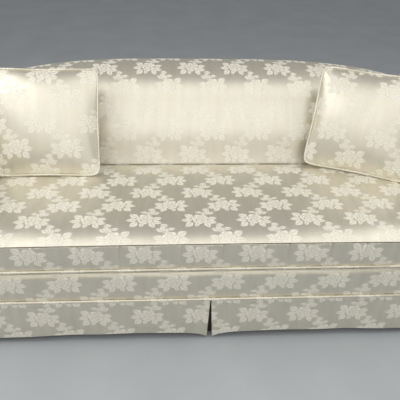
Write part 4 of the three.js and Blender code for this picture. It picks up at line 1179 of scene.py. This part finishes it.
def boxing_shares():
    """Shares down the boxing, from 0 at the top seam to 1 at the welt."""
    middle = np.linspace(*BOXING_MIDDLE)
    near_zip = [(SEAT_Z - z) / (SEAT_Z - RIM_Z) for z in ZIP_EDGES]
    return np.sort(np.concatenate([NEAR_TOP_SEAM, middle, near_zip, NEAR_WELT]))[:, None]


print(len(boxing_shares()), "rows down the boxing")

# %% [markdown]
# The boxing is a strip sewn between two seams. Where the strip was eased in it puckers: a few
# upright folds, each a ridge with a valley beside it, strongest at the top seam. A fine ripple
# along both seams stands for the stitches' pull.

# %% Puckers and seams
PUCKERS = ((-0.318, 0.0042), (-0.212, 0.0038), (-0.112, 0.0026), (0.030, 0.0034), (0.177, 0.0038),
           (0.253, 0.0028), (0.40, 0.0034), (0.52, 0.0030), (-0.46, 0.0030), (-0.60, 0.0036))
PUCKER_WIDTH, PUCKER_START = 0.0048, 12
VALLEY_SHARE, VALLEY_PLACE = 0.8, 1.9
STITCH_PULL, STITCH_FADE = 0.0006, 0.10
STITCH_WAVES = ((310, 0.0, 1.0), (127, 2.0, 0.7))
SEAM_CREASE, CREASE_AT, CREASE_WIDTH = 0.0065, 0.018, 0.014
BOXING_BULGE = 0.003
ZIP_RECESS = -0.0015
UNDERSIDE_RUN = 0.05


print(len(PUCKERS), "puckers in the boxing")


def pucker_depth(around, share):
    """Ridges with valleys beside them at the puckers' places, fading down, and the stitches' ripple."""
    total = np.zeros(np.broadcast_shapes(around.shape, share.shape))
    fading, starting = np.sqrt(np.clip(1 - share, 0, 1)), np.minimum(1, share * PUCKER_START)
    for place, height in PUCKERS:
        from_fold = (around - place) / PUCKER_WIDTH
        ridge = np.exp(-from_fold ** 2) - VALLEY_SHARE * np.exp(-(from_fold - VALLEY_PLACE) ** 2)
        total = total + height * ridge * fading * starting
    near_seam = np.exp(-share / STITCH_FADE) + np.exp(-(1 - share) / STITCH_FADE)
    return total + STITCH_PULL * ripple(around, STITCH_WAVES) * near_seam


def boxing_depth(around, share, rim):
    """How far the boxing stands out: bulge, less the seam's crease, puckers, and the zip's recess."""
    crease = SEAM_CREASE * np.exp(-((share - CREASE_AT) / CREASE_WIDTH) ** 2)
    out = BOXING_BULGE * np.sin(share * np.pi) - crease
    out = out + pucker_depth(around[None, :], share)
    z = SEAT_Z + (RIM_Z - SEAT_Z) * share
    behind = (rim[:, 1] > CUSHION_MIDDLE_Y + CUSHION_HALF_Y / 2) & (np.abs(rim[:, 0]) < ZIP_HALF)
    out = np.where(behind[None, :] & (z > ZIP_EDGES[0]) & (z < ZIP_EDGES[-1]), ZIP_RECESS, out)
    out[0], out[-1] = 0, 0
    return out


def underside(s, t):
    """Height of the cushion's underside: up at the welt, then down on the deck within a few centimetres."""
    to_x, to_y = (1 - np.abs(s)) * CUSHION_HALF_X, (1 - np.abs(t)) * CUSHION_HALF_Y
    share = np.clip(np.minimum(to_x, to_y) / UNDERSIDE_RUN, 0, 1)
    return RIM_Z + (CUSHION_BOTTOM - RIM_Z) * np.sin(share * np.pi / 2)


# %% [markdown]
# The three surfaces share their edges. A thin dark cord under the top's seam is painted shade
# for the crease's shadow, and the welt stands a little proud of the lower edge. The pattern's rows
# are drawn a little closer in depth, because the cloth is pulled tight that way.

# %% The cushion, its welt and its painted seam shade
PLAN_DRAW = 0.003
SEAM_SHADE_RADIUS = 0.0015
WELT_OUT = 0.004
SEAT_CLOTH = (-0.0446, FRONT_Y + 0.1066)
SEAT_CLOTH_DRAWN = np.array([1.0, 1.12])
BOXING_ROSE_Z = 0.416


def outward_of(ring):
    """The level direction that points out of a closed ring of points."""
    along = np.roll(ring, -1, axis=0) - np.roll(ring, 1, axis=0)
    normal = stacked(along[:, 1], -along[:, 0], 0.0)
    return normal / np.linalg.norm(normal, axis=1, keepdims=True)


def cushion_surface():
    """Top, boxing and underside on one pressed grid; also the seam's line and the welt's."""
    folds = [place / CUSHION_HALF_X for place, _ in PUCKERS]
    s, t = np.meshgrid(crowded(CUSHION_ACROSS, [-1, *folds, 1]), edge_spacing(CUSHION_DEEP, DEEP_CROWD))
    x, y = corner_pressed(s, t, CUSHION_HALF_X, CUSHION_HALF_Y, CUSHION_CORNER)
    x = x - PLAN_DRAW * np.cos(np.pi / 2 * t) * s
    y = y - PLAN_DRAW * np.cos(np.pi / 2 * s) * t + CUSHION_MIDDLE_Y
    top, low = stacked(x, y, seat_top(x, y)), stacked(x, y, underside(s, t))
    rim_top, rim_low = perimeter(top), perimeter(low)
    around = run_length(closed_ring(rim_low))
    around = around - np.interp(0, rim_low[:CUSHION_ACROSS - 1, 0], around[:CUSHION_ACROSS - 1])
    share = boxing_shares()
    out = boxing_depth(around[:-1], share, rim_low)[..., None] * outward_of(rim_low)
    rows = rim_top * (1 - share[..., None]) + rim_low * share[..., None] + out
    up = SEAT_Z + (RIM_Z - SEAT_Z) * share - BOXING_ROSE_Z
    top_cloth = (top[..., :2] - np.array(SEAT_CLOTH)) * SEAT_CLOTH_DRAWN
    return join_surfaces([
        grid_surface(top, top_cloth),
        grid_surface(rows, stacked(around[None, :] - SEAT_CLOTH[0], up), wrap=True),
        grid_surface(low[::-1], top_cloth[::-1]),
    ]), rim_top, rim_low + WELT_OUT * outward_of(rim_low)


cushion_form, seam_line, welt_line = cushion_surface()
add_piece(
    "seat_cushion", cushion_form, ("seat_cushion_cover", "seat_cushion_core"),
    body="seat_cushion")
add_piece("cushion_welt", welt_surface(welt_line, CUSHION_WELT_RADIUS, UPWARD), body="seat_cushion")
# The dark cord just under the top seam is painted shade for the seam's crease.
add_piece(
    "cushion_seam_shade_cord", welt_surface(seam_line - SEAM_SHADE_RADIUS * UPWARD, SEAM_SHADE_RADIUS, UPWARD),
    body="seat_cushion", material=SEAM_SHADE_CORD)

# %% [markdown]
# ## Throw pillows
#
# A pillow is two squares of cloth sewn along their edges and blown up by the filling. The start is
# a drawn-in square that swells towards the middle. After the simulation it is leaned back about
# its lower edge, turned, and set down on the seat.

# %% Pillow start shape
PILLOW_WIDTH = 0.41
PILLOW_THICKNESS = 0.14
PILLOW_SHARPNESS = 16
PILLOW_DRAW = 0.02
PILLOW_POWER = 0.65
PILLOW_COUNT, PILLOW_CROWD = 61, 0.5
PILLOW_WELT_RADIUS = 0.004
PILLOWS = {
    "left_pillow": {
        "side": -1, "arm_gap": 0.044, "back_gap": 0.064, "turn": 0, "lean": 30, "slump": 0.985,
        "cloth": (0.0, 0.0)},
    "right_pillow": {
        "side": 1, "arm_gap": 0.072, "back_gap": 0.056, "turn": -24, "lean": 27, "slump": 0.962,
        "cloth": (0.068, -0.05)},
}


def pillow_halves(thickness):
    """Front and back: |x| and |z| to a high power make the outline, the product of distances the swell."""
    places = edge_spacing(PILLOW_COUNT, PILLOW_CROWD)
    s, t = np.meshgrid(places, places)
    turn = np.arctan2(t, s)
    c, n = np.abs(np.cos(turn)), np.abs(np.sin(turn))
    outline = (c ** PILLOW_SHARPNESS + n ** PILLOW_SHARPNESS) ** (-1 / PILLOW_SHARPNESS)
    outline = outline * (1 - PILLOW_DRAW * np.cos(2 * turn) ** 2)
    square = 1 / np.maximum(c, n)
    edge = np.maximum(np.abs(s), np.abs(t))
    fit = 1 + (outline / square - 1) * edge ** 2
    x, z = s * fit * PILLOW_WIDTH / 2, t * fit * PILLOW_WIDTH / 2
    swell = thickness / 2 * np.maximum(0, (1 - s * s) * (1 - t * t)) ** PILLOW_POWER
    front, rear = (stacked(x, y, z + PILLOW_WIDTH / 2) for y in (-swell, swell))
    return front, rear, stacked(x, z)


def placed_pillow(points, spot):
    """Leaned back about its lower edge, turned and moved to its place."""
    lean, turn = -np.radians(spot["lean"]), np.radians(spot["turn"])
    x, y, z = points[..., 0], points[..., 1], points[..., 2] * spot["slump"]
    y, z = y * np.cos(lean) - z * np.sin(lean), y * np.sin(lean) + z * np.cos(lean)
    x, y = x * np.cos(turn) - y * np.sin(turn), x * np.sin(turn) + y * np.cos(turn)
    x = x + spot["side"] * (SEAT_HALF_WIDTH - spot["arm_gap"] - PILLOW_WIDTH / 2)
    y = y + CUSHION_REAR - spot["back_gap"] - PILLOW_THICKNESS / 2
    return stacked(x, y, z)


# %% [markdown]
# The cloth is simulated with its seam pinned and no gravity: pressure fills it for twenty steps,
# and no point may move further than a cap. It starts slimmer, because it swells. The result is read
# back as plain points, so no live cloth is left on the piece.

# %% Cloth simulation
PRESSURE = 4.0
SIMULATED_FRAMES = 20
MOVE_CAP, LEAST_MOVE = 0.022, 1e-9
START_SHARE = 0.8
STIFFNESS = {
    "quality": 6, "mass": 0.25, "tension_stiffness": 12, "compression_stiffness": 12,
    "bending_stiffness": 0.15,
}


def mesh_points(mesh):
    """A mesh's points as an array."""
    flat = np.empty(len(mesh.vertices) * 3, dtype=np.float32)
    mesh.vertices.foreach_get("co", flat)
    return flat.reshape(-1, 3).astype(float)


def blown_up(piece, pinned):
    """The points after the simulation, each moved from its start by no more than the cap."""
    start = mesh_points(piece.data)
    group = piece.vertex_groups.new(name="seam")
    group.add(pinned.tolist(), 1.0, "REPLACE")
    cloth = piece.modifiers.new("blown_up", "CLOTH")
    for key, value in STIFFNESS.items():
        setattr(cloth.settings, key, value)
    cloth.settings.vertex_group_mass = "seam"
    cloth.settings.use_pressure = True
    cloth.settings.uniform_pressure_force = PRESSURE
    cloth.settings.effector_weights.gravity = 0
    cloth.collision_settings.use_collision = False
    cloth.collision_settings.use_self_collision = False
    cloth.point_cache.frame_start = 1
    cloth.point_cache.frame_end = SIMULATED_FRAMES
    scene = bpy.context.scene
    for number in range(1, SIMULATED_FRAMES + 1):
        scene.frame_set(number)
    shown = piece.evaluated_get(bpy.context.evaluated_depsgraph_get())
    move = mesh_points(shown.data) - start
    piece.modifiers.remove(cloth)
    piece.vertex_groups.remove(group)
    scene.frame_set(1)
    length = np.linalg.norm(move, axis=1, keepdims=True)
    print(piece.name, "moved by up to", round(float(length.max()) * 1000, 1), "mm")
    return start + move * np.minimum(1, MOVE_CAP / np.maximum(length, LEAST_MOVE))


# %% [markdown]
# A pillow rests where its lowest point first meets the seat. So its height over the seat is worked
# out at every point, and the pillow is set down by the smallest, less a hair. Its welt follows the
# seam of the cloth that was simulated.

# %% Pillows
def seam_points(points, seam):
    """For each point of the seam's line, the number of the mesh point that lies on it."""
    return np.array([np.argmin(((points - p) ** 2).sum(axis=1)) for p in seam])


def add_pillow(name, spot):
    """Blown up, placed, and lifted until its lowest point rests a hair above the seat; then its welt."""
    thickness = PILLOW_THICKNESS * START_SHARE
    front, rear, cloth = pillow_halves(thickness)
    cloth = cloth - np.array(spot["cloth"])
    surface = join_surfaces([grid_surface(front, cloth), grid_surface(rear[::-1], cloth[::-1])])
    pillow = add_piece(name + "_cover", surface, (name,), body=name)
    points = mesh_points(pillow.data)
    seam = seam_points(points, perimeter(front))
    points = blown_up(pillow, seam)
    points = placed_pillow(points, spot)
    line = points[seam]
    away = line - line.mean(axis=0)
    rim = line + away / np.linalg.norm(away, axis=1, keepdims=True) * PILLOW_WELT_RADIUS / 2
    lowest = np.vstack([points, rim - PILLOW_WELT_RADIUS * UPWARD])
    lift = (seat_top(lowest[:, 0], lowest[:, 1]) - lowest[:, 2]).max() + TOUCH
    points[:, 2] += lift
    rim[:, 2] += lift
    pillow.data.vertices.foreach_set("co", points.astype(np.float32).ravel())
    pillow.data.update()
    smooth = pillow.modifiers.new("smooth", "SUBSURF")
    smooth.levels = smooth.render_levels = 1
    add_piece(name + "_welt", welt_surface(rim, PILLOW_WELT_RADIUS, away), body=name)


for pillow_name, spot in PILLOWS.items():
    add_pillow(pillow_name, spot)

# %% [markdown]
# ## The skirt
#
# The skirt hangs from a welt at the border's bottom in straight runs, lined and nearly flat. In
# front two runs meet in an inverted pleat, and its edges part towards the hem. The hem dips at the
# pleat and towards the corners. The surface is a grid over distance along and share down, and a
# place function stands it in front, at a side or behind.

# %% Skirt shape
SKIRT_THICKNESS = 0.0026
SKIRT_WELT, SKIRT_WELT_SINK = 0.0047, 0.001
SKIRT_TOP = BORDER_BOTTOM - SKIRT_WELT_SINK
FRONT_REACH, SIDE_REACH = 0.012, 0.009
HEM_MIDDLE, HEM_PLEAT_DIP, HEM_PLEAT_RUN = 0.036, 0.024, 0.045
HEM_CORNER_DIP, HEM_ARCH_SHARE = 0.022, 0.33
SKIRT_WAVE, SKIRT_WAVE_LENGTH = 0.0025, 0.26
SKIRT_ROWS, FLARE_POWER = 25, 1.2
FOLD_COLUMNS, RUN_COLUMNS, BACK_RUN_COLUMNS = 22, 121, 221
RIDGE_RISE, RIDGE_DROP, RIDGE_WIDTH = 0.0016, 0.011, 0.004
FOLD_RADIUS, FOLD_SHARE, FOLD_START = 0.006, 0.8, 6


def hem_at(distance, run):
    """The hem's height: its middle, less a dip that fades from the pleat, less one towards the corner."""
    beyond = np.maximum(0, distance / run - HEM_ARCH_SHARE) / (1 - HEM_ARCH_SHARE)
    return HEM_MIDDLE - HEM_PLEAT_DIP * np.exp(-distance / HEM_PLEAT_RUN) - HEM_CORNER_DIP * beyond ** 2


def skirt_grid(distance, reach, hem, first, last, folds):
    """Outward distance and height on a grid: a flare to the hem, a faint wave, a seam ridge and folds."""
    down = np.linspace(0, 1, SKIRT_ROWS)[None, :] ** FLARE_POWER
    z = SKIRT_TOP - down * (SKIRT_TOP - hem[:, None])
    fade = np.sin(np.pi * np.clip((distance - first) / (last - first), 0, 1))
    wave = SKIRT_WAVE * fade * (1 + np.cos(2 * np.pi * distance / SKIRT_WAVE_LENGTH)) / 2
    out = TOUCH + SKIRT_WELT + (reach - TOUCH - SKIRT_WELT) * down - wave[:, None] * down
    out = out + RIDGE_RISE * np.exp(-((SKIRT_TOP - z - RIDGE_DROP) / RIDGE_WIDTH) ** 2)
    for edge, sign in folds:
        near = np.clip(1 - sign * (distance - edge) / FOLD_RADIUS, 0, 1)
        fold = (FOLD_RADIUS * (1 - np.sqrt(1 - near ** 2)) * FOLD_SHARE)[:, None]
        out = out - fold * np.minimum(1, down * FOLD_START)
    return out, z


print("hem from", HEM_MIDDLE - HEM_CORNER_DIP, "to", HEM_MIDDLE, "m above the floor")

# %% [markdown]
# Each run is a sheet of cloth with a lining.

# %% Cutting a run
SKIRT_ROSE_Z = 0.127
SKIRT_CLOTH_ACROSS = -0.038


def add_skirt(side_name, distance, grid, place, cloth_start, cloth_way):
    """One run as a lined sheet; its drops down the columns are summed but not used."""
    out, z = grid
    along = np.broadcast_to(distance[:, None], z.shape)
    outer, inner = place(along, out, z), place(along, out - SKIRT_THICKNESS, z)
    cloth = stacked(along * cloth_way - cloth_start, z - SKIRT_ROSE_Z)
    name = side_name + "_skirt_cloth"
    piece = add_piece(name, slab(outer, inner, cloth), (side_name + "_skirt",))
    drops = np.linalg.norm(np.diff(outer, axis=1), axis=-1).sum(axis=1)


# %% [markdown]
# At the pleat the cloth turns back over a quarter circle and runs in behind itself, so its edge is
# round and not cut off. The gap between the two edges widens from the welt to the hem.

# %% Front runs
PLEAT_GAP_TOP, PLEAT_GAP_HEM = 0.0015, 0.010
PLEAT_RETURN, PLEAT_ROUND = 0.014, 0.004
CORNER_X = OUTSIDE_ARM_X + SIDE_REACH
END_CROWD = 0.3


def end_spacing(count):
    """Shares above 0 up to 1 that crowd towards 1."""
    share = np.linspace(0, 1, count)[1:]
    return share * (1 - END_CROWD) + END_CROWD * np.sin(share * np.pi / 2)


def turned_back(distance):
    """Across and back for a cloth that turns back over a quarter circle at distance zero."""
    half_arc = PLEAT_ROUND * np.pi / 4
    turn = (np.clip(distance, -half_arc, half_arc) + half_arc) / half_arc * np.pi / 4
    across = PLEAT_ROUND * (1 - np.cos(turn)) + np.maximum(0, distance - half_arc)
    back = PLEAT_ROUND * (1 - np.sin(turn)) + np.maximum(0, -distance - half_arc)
    return across, back


def front_skirt(name, side):
    """From the pleat's hidden edge to the corner: the gap is given up evenly on the way."""
    fold = np.linspace(-PLEAT_RETURN, 2 * PLEAT_ROUND, FOLD_COLUMNS)
    straight = 2 * PLEAT_ROUND + (CORNER_X - 2 * PLEAT_ROUND) * end_spacing(RUN_COLUMNS)
    distance = np.concatenate([fold, straight])
    hem = hem_at(np.maximum(0, distance), CORNER_X)
    grid = skirt_grid(distance, FRONT_REACH, hem, 0, CORNER_X, ((CORNER_X, -1),))

    def place(along, out, z):
        """In front: across from the pleat, before the border by the outward distance."""
        below_welt = np.maximum(0, BORDER_BOTTOM - z)
        gap = PLEAT_GAP_TOP + (PLEAT_GAP_HEM - PLEAT_GAP_TOP) * below_welt / BORDER_BOTTOM
        across, back = turned_back(along)
        return stacked(side * (across + gap * (1 - across / CORNER_X)), FRONT_Y - out + back, z)

    add_skirt(name + "_front", distance, grid, place, SKIRT_CLOTH_ACROSS, side)


# %% [markdown]
# At a side the run goes from corner to corner in depth, and behind it goes across. Both are folded
# in at their ends, where they meet the next run.

# %% Side and back runs
REAR_BASE_Y = float(rear_face(BORDER_BOTTOM + SKIRT_WELT))
SIDE_START = 0.0015
RUN_CROWD = 0.35


def run_places(first, last, count):
    """Places along a run that crowd at both ends, where the cloth folds."""
    return (first + last) / 2 + (last - first) / 2 * edge_spacing(count, RUN_CROWD)


def side_skirt(name, side):
    """Along the outside arm from the front corner to the rear one, with a fold at each."""
    first, last = FRONT_Y + SIDE_START, REAR_BASE_Y - TOUCH
    distance = run_places(first, last, RUN_COLUMNS)
    run = REAR_BASE_Y - FRONT_Y
    hem = hem_at(run / 2 - np.abs(distance - (REAR_BASE_Y + FRONT_Y) / 2), run)
    grid = skirt_grid(distance, SIDE_REACH + TOUCH, hem, first, last, ((first, 1), (last, -1)))

    def place(along, out, z):
        """At a side: the distance along is the depth, outward is across."""
        return stacked(side * (OUTSIDE_ARM_X + out), along, z)

    add_skirt(name + "_side", distance, grid, place, FRONT_Y, side)


def back_skirt():
    """Across the rear from corner to corner; its cloth runs the other way, as seen from behind."""
    distance = run_places(-CORNER_X, CORNER_X, BACK_RUN_COLUMNS)
    hem = hem_at(CORNER_X - np.abs(distance), CORNER_X)
    grid = skirt_grid(distance, SIDE_REACH, hem, -CORNER_X, CORNER_X, ((-CORNER_X, 1), (CORNER_X, -1)))

    def place(along, out, z):
        """Behind: the distance along is across, outward is to the rear."""
        return stacked(along, REAR_BASE_Y + out, z)

    add_skirt("back", distance, grid, place, SKIRT_CLOTH_ACROSS, -1)


for name, side in SIDES:
    front_skirt(name, side)
    side_skirt(name, side)
back_skirt()

# %% [markdown]
# One welt runs round the whole sofa above the skirt. Its line is a rectangle with round corners.

# %% Skirt welt
WELT_CORNER, CORNER_POINTS = 0.012, 8
WELT_POINTS, LEAST_STEP = 300, 0.0008


def rounded_rectangle(x0, x1, y0, y1, radius, z):
    """Four quarter circles joined by straight sides, walked round in even steps."""
    points = []
    for cx, cy, start in (
        (x1 - radius, y0 + radius, -np.pi / 2), (x1 - radius, y1 - radius, 0),
        (x0 + radius, y1 - radius, np.pi / 2), (x0 + radius, y0 + radius, np.pi),
    ):
        turn = start + np.linspace(0, np.pi / 2, CORNER_POINTS)
        points.append(stacked(cx + radius * np.cos(turn), cy + radius * np.sin(turn)))
    ring = closed_ring(np.concatenate(points))
    length = run_length(ring)
    even = np.sort(np.concatenate([length[:-1], np.linspace(0, length[-1], WELT_POINTS)[1:-1]]))
    even = even[np.concatenate([[True], np.diff(even) > LEAST_STEP])]
    return stacked(*(np.interp(even, length, ring[:, k]) for k in (0, 1)), z)


welt_stand = TOUCH + SKIRT_WELT
skirt_line = rounded_rectangle(
    -OUTSIDE_ARM_X - welt_stand, OUTSIDE_ARM_X + welt_stand, FRONT_Y - welt_stand, REAR_BASE_Y + welt_stand,
    WELT_CORNER, BORDER_BOTTOM + SKIRT_WELT - SKIRT_WELT_SINK)
add_piece("skirt_welt", welt_surface(skirt_line, SKIRT_WELT, UPWARD))

# %% [markdown]
# Behind each pleat hangs a separate underlay, so that the gap shows cloth and not the legs. Its
# cloth is nearly black, painted shade for the deep gap. It is a sheet that hangs straight down from a
# line in plan.

# %% Underlays
UNDERLAY_HALF = 0.09
UNDERLAY_GAP = 0.0045
MIDDLE_UNDERLAY_GAP = 0.0125
UNDERLAY_THICKNESS = 0.0016
UNDERLAY_TOP = COVER_BOTTOM - TOUCH
UNDERLAY_HEM = HEM_MIDDLE - HEM_PLEAT_DIP
UNDERLAY_CORNER = 0.004
SWAY, SWAY_PACE = 0.0005, 60
UNDERLAY_ROWS, FLANK_POINTS, TURN_POINTS, MIDDLE_POINTS = 21, 20, 9, 41


def underlay(name, replaced, path, inward, held_by):
    """A sheet that hangs straight down from a line in plan, with a faint sideways sway."""
    z = np.linspace(UNDERLAY_HEM, UNDERLAY_TOP, UNDERLAY_ROWS)[None, :]
    length = run_length(path)[:, None]
    sway = SWAY * np.sin(length * SWAY_PACE) * (UNDERLAY_TOP - z) / UNDERLAY_TOP
    outer = stacked(path[:, :1] + inward[:, :1] * sway, path[:, 1:] + inward[:, 1:] * sway, z)
    inner = outer + np.pad(inward, ((0, 0), (0, 1)))[:, None, :] * UNDERLAY_THICKNESS
    cloth = stacked(length - UNDERLAY_HALF, z - SKIRT_ROSE_Z)
    # The underlay's finish is painted shade, for the dark gap behind the pleat.
    piece = add_piece(name, slab(outer, inner, cloth), (replaced,), material=PLEAT_PAINTED_SHADE)


def corner_plan(side):
    """From the front round the corner to the side, and at each point the level direction inwards."""
    radius = UNDERLAY_CORNER
    corner_x, corner_y = OUTSIDE_ARM_X - UNDERLAY_GAP, FRONT_Y + UNDERLAY_GAP
    front = stacked(np.linspace(corner_x - UNDERLAY_HALF, corner_x - radius, FLANK_POINTS), corner_y)
    turn = np.linspace(-np.pi / 2, 0, TURN_POINTS)[1:-1]
    arc = stacked(corner_x - radius + radius * np.cos(turn), corner_y + radius + radius * np.sin(turn))
    flank = stacked(corner_x, np.linspace(corner_y + radius, corner_y + UNDERLAY_HALF, FLANK_POINTS))
    inward = np.concatenate([
        np.broadcast_to([0.0, 1.0], front.shape), -stacked(np.cos(turn), np.sin(turn)),
        np.broadcast_to([-1.0, 0.0], flank.shape)])
    flip = np.array([side, 1])
    return np.concatenate([front, arc, flank]) * flip, inward * flip


middle_across = np.linspace(-UNDERLAY_HALF, UNDERLAY_HALF, MIDDLE_POINTS)
middle_plan = stacked(middle_across, FRONT_Y + MIDDLE_UNDERLAY_GAP)
middle_inward = np.broadcast_to([0.0, 1.0], middle_plan.shape)
underlay("middle_pleat_painted_shade", "middle_pleat_underlay", middle_plan, middle_inward, ["front_rail"])
for name, side in SIDES:
    underlay(f"{name}_corner_painted_shade", f"{name}_corner_underlay", *corner_plan(side), [f"{name}_side_rail"])

# %% [markdown]
# ## Under the seat
#
# Black cambric closes the underside. It is tacked to the rails all round and sags a little in the
# middle, with the square of a sine each way, so it stays flat over the legs.

# %% Cambric
CAMBRIC_SAG = 0.005
CAMBRIC_GRID = (71, 31)


def cambric_surface():
    """A slab whose two faces sag alike."""
    low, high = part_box("dust_cover")
    x, y, sag = box_sheet((low, high), CAMBRIC_GRID, CAMBRIC_SAG, 2)
    return slab(stacked(x, y, low[2] - sag), stacked(x, y, high[2] - sag), stacked(x, y))


cambric = add_piece(
    "underside_cloth", cambric_surface(), ("dust_cover",), material=CAMBRIC)

# %% [markdown]
# ## Finishes for the frame
#
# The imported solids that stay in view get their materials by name. A board's grain runs along its
# length, so rails across the sofa, rails along its depth and upright posts have one each.

# %% Frame finishes
FINISHES = {
    "front_rail": HARDWOOD, "back_rail": HARDWOOD, "crest_rail": HARDWOOD, "lower_back_rail": HARDWOOD,
    "middle_back_upright": HARDWOOD_UPRIGHT, "back_webbing": JUTE, "seat_springs": SPRING_STEEL,
    "cushion_zip_slider": SPRING_STEEL, "cushion_zip_tape": NYLON,
}
DEEP_RAILS = ("side_rail", "cross_rail", "arm_rail")
POSTS = ("back_post", "arm_front_post", "arm_rear_post")
for name, side in SIDES:
    FINISHES |= {f"{name}_{rail}": HARDWOOD_DEEP for rail in DEEP_RAILS}
    FINISHES |= {f"{name}_{post}": HARDWOOD_UPRIGHT for post in POSTS}
for row in ("front", "back"):
    for place in ("left", "middle", "right"):
        FINISHES |= {f"{row}_{place}_leg": HARDWOOD_UPRIGHT, f"{row}_{place}_glide": NYLON}
for name, finish in FINISHES.items():
    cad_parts[name].material_slots[0].material = finish
print(len(FINISHES), "solids finished")

# %% [markdown]
# ## Floor and light
#
# The floor is plain and pale. The photograph's light comes from a wide source above and in front:
# it is mirrored in the back, the pillows and the cushion's front edge, and not in the seat. A weak
# warm light from behind the camera fills the lower back. Two lights high at the sides brighten what
# faces up, where no surface in view mirrors them.

# %% Floor
FLOOR_HALF = 9
corners = [(-FLOOR_HALF, -FLOOR_HALF, 0), (FLOOR_HALF, -FLOOR_HALF, 0), (FLOOR_HALF, FLOOR_HALF, 0),
           (-FLOOR_HALF, FLOOR_HALF, 0)]
floor_mesh = bpy.data.meshes.new("floor")
floor_mesh.from_pydata(corners, [], [(0, 1, 2, 3)])
floor = bpy.data.objects.new("floor", floor_mesh)
bpy.context.collection.objects.link(floor)
print("floor", 2 * FLOOR_HALF, "m square")
floor_mesh.materials.append(grained_material(
    "pale_floor", (3, 3, 3), (0.44, 0.47, 0.50), (0.49, 0.52, 0.55), (0.8, 0.9), 0.0001))

# %% Light
SKY_COLOR, SKY_STRENGTH = (0.98, 0.98, 0.96, 1), 0.33
SIDE_LIGHTS = [{
    "name": name + "_light", "place": (side * 2.4, -0.1, 2.5), "target": (side * 0.2, 0.0, 0.45),
    "size": (1.8, 1.8), "power": 20, "color": (1, 0.985, 0.95)} for name, side in SIDES]
LIGHTS = [
    {"name": "wide_light", "place": (-0.5, -1.35, 2.2), "target": (-0.4, -0.45, 0.4),
     "size": (4.2, 2.3), "power": 30, "color": (1, 0.99, 0.965)},
    {"name": "warm_light", "place": (-0.3, -3.6, 1.3), "target": (-0.3, 0, 0.6),
     "size": (5.0, 1.6), "power": 15, "color": (1, 0.93, 0.80)},
    *SIDE_LIGHTS,
]


def area_light(name, place, target, size, power, color):
    """A rectangle of light at a place, turned to face a target."""
    data = bpy.data.lights.new(name, "AREA")
    data.shape = "RECTANGLE"
    data.size, data.size_y = size
    data.energy = power
    data.color = color
    light = bpy.data.objects.new(name, data)
    light.location = place
    light.rotation_euler = (Vector(target) - Vector(place)).to_track_quat("-Z", "Y").to_euler()
    bpy.context.collection.objects.link(light)


for settings in LIGHTS:
    area_light(**settings)
world = bpy.data.worlds.new("studio")
world.use_nodes = True
world.node_tree.nodes["Background"].inputs["Color"].default_value = SKY_COLOR
world.node_tree.nodes["Background"].inputs["Strength"].default_value = SKY_STRENGTH
bpy.context.scene.world = world
bpy.context.scene.view_settings.view_transform = "Standard"
print(len(LIGHTS), "lights")
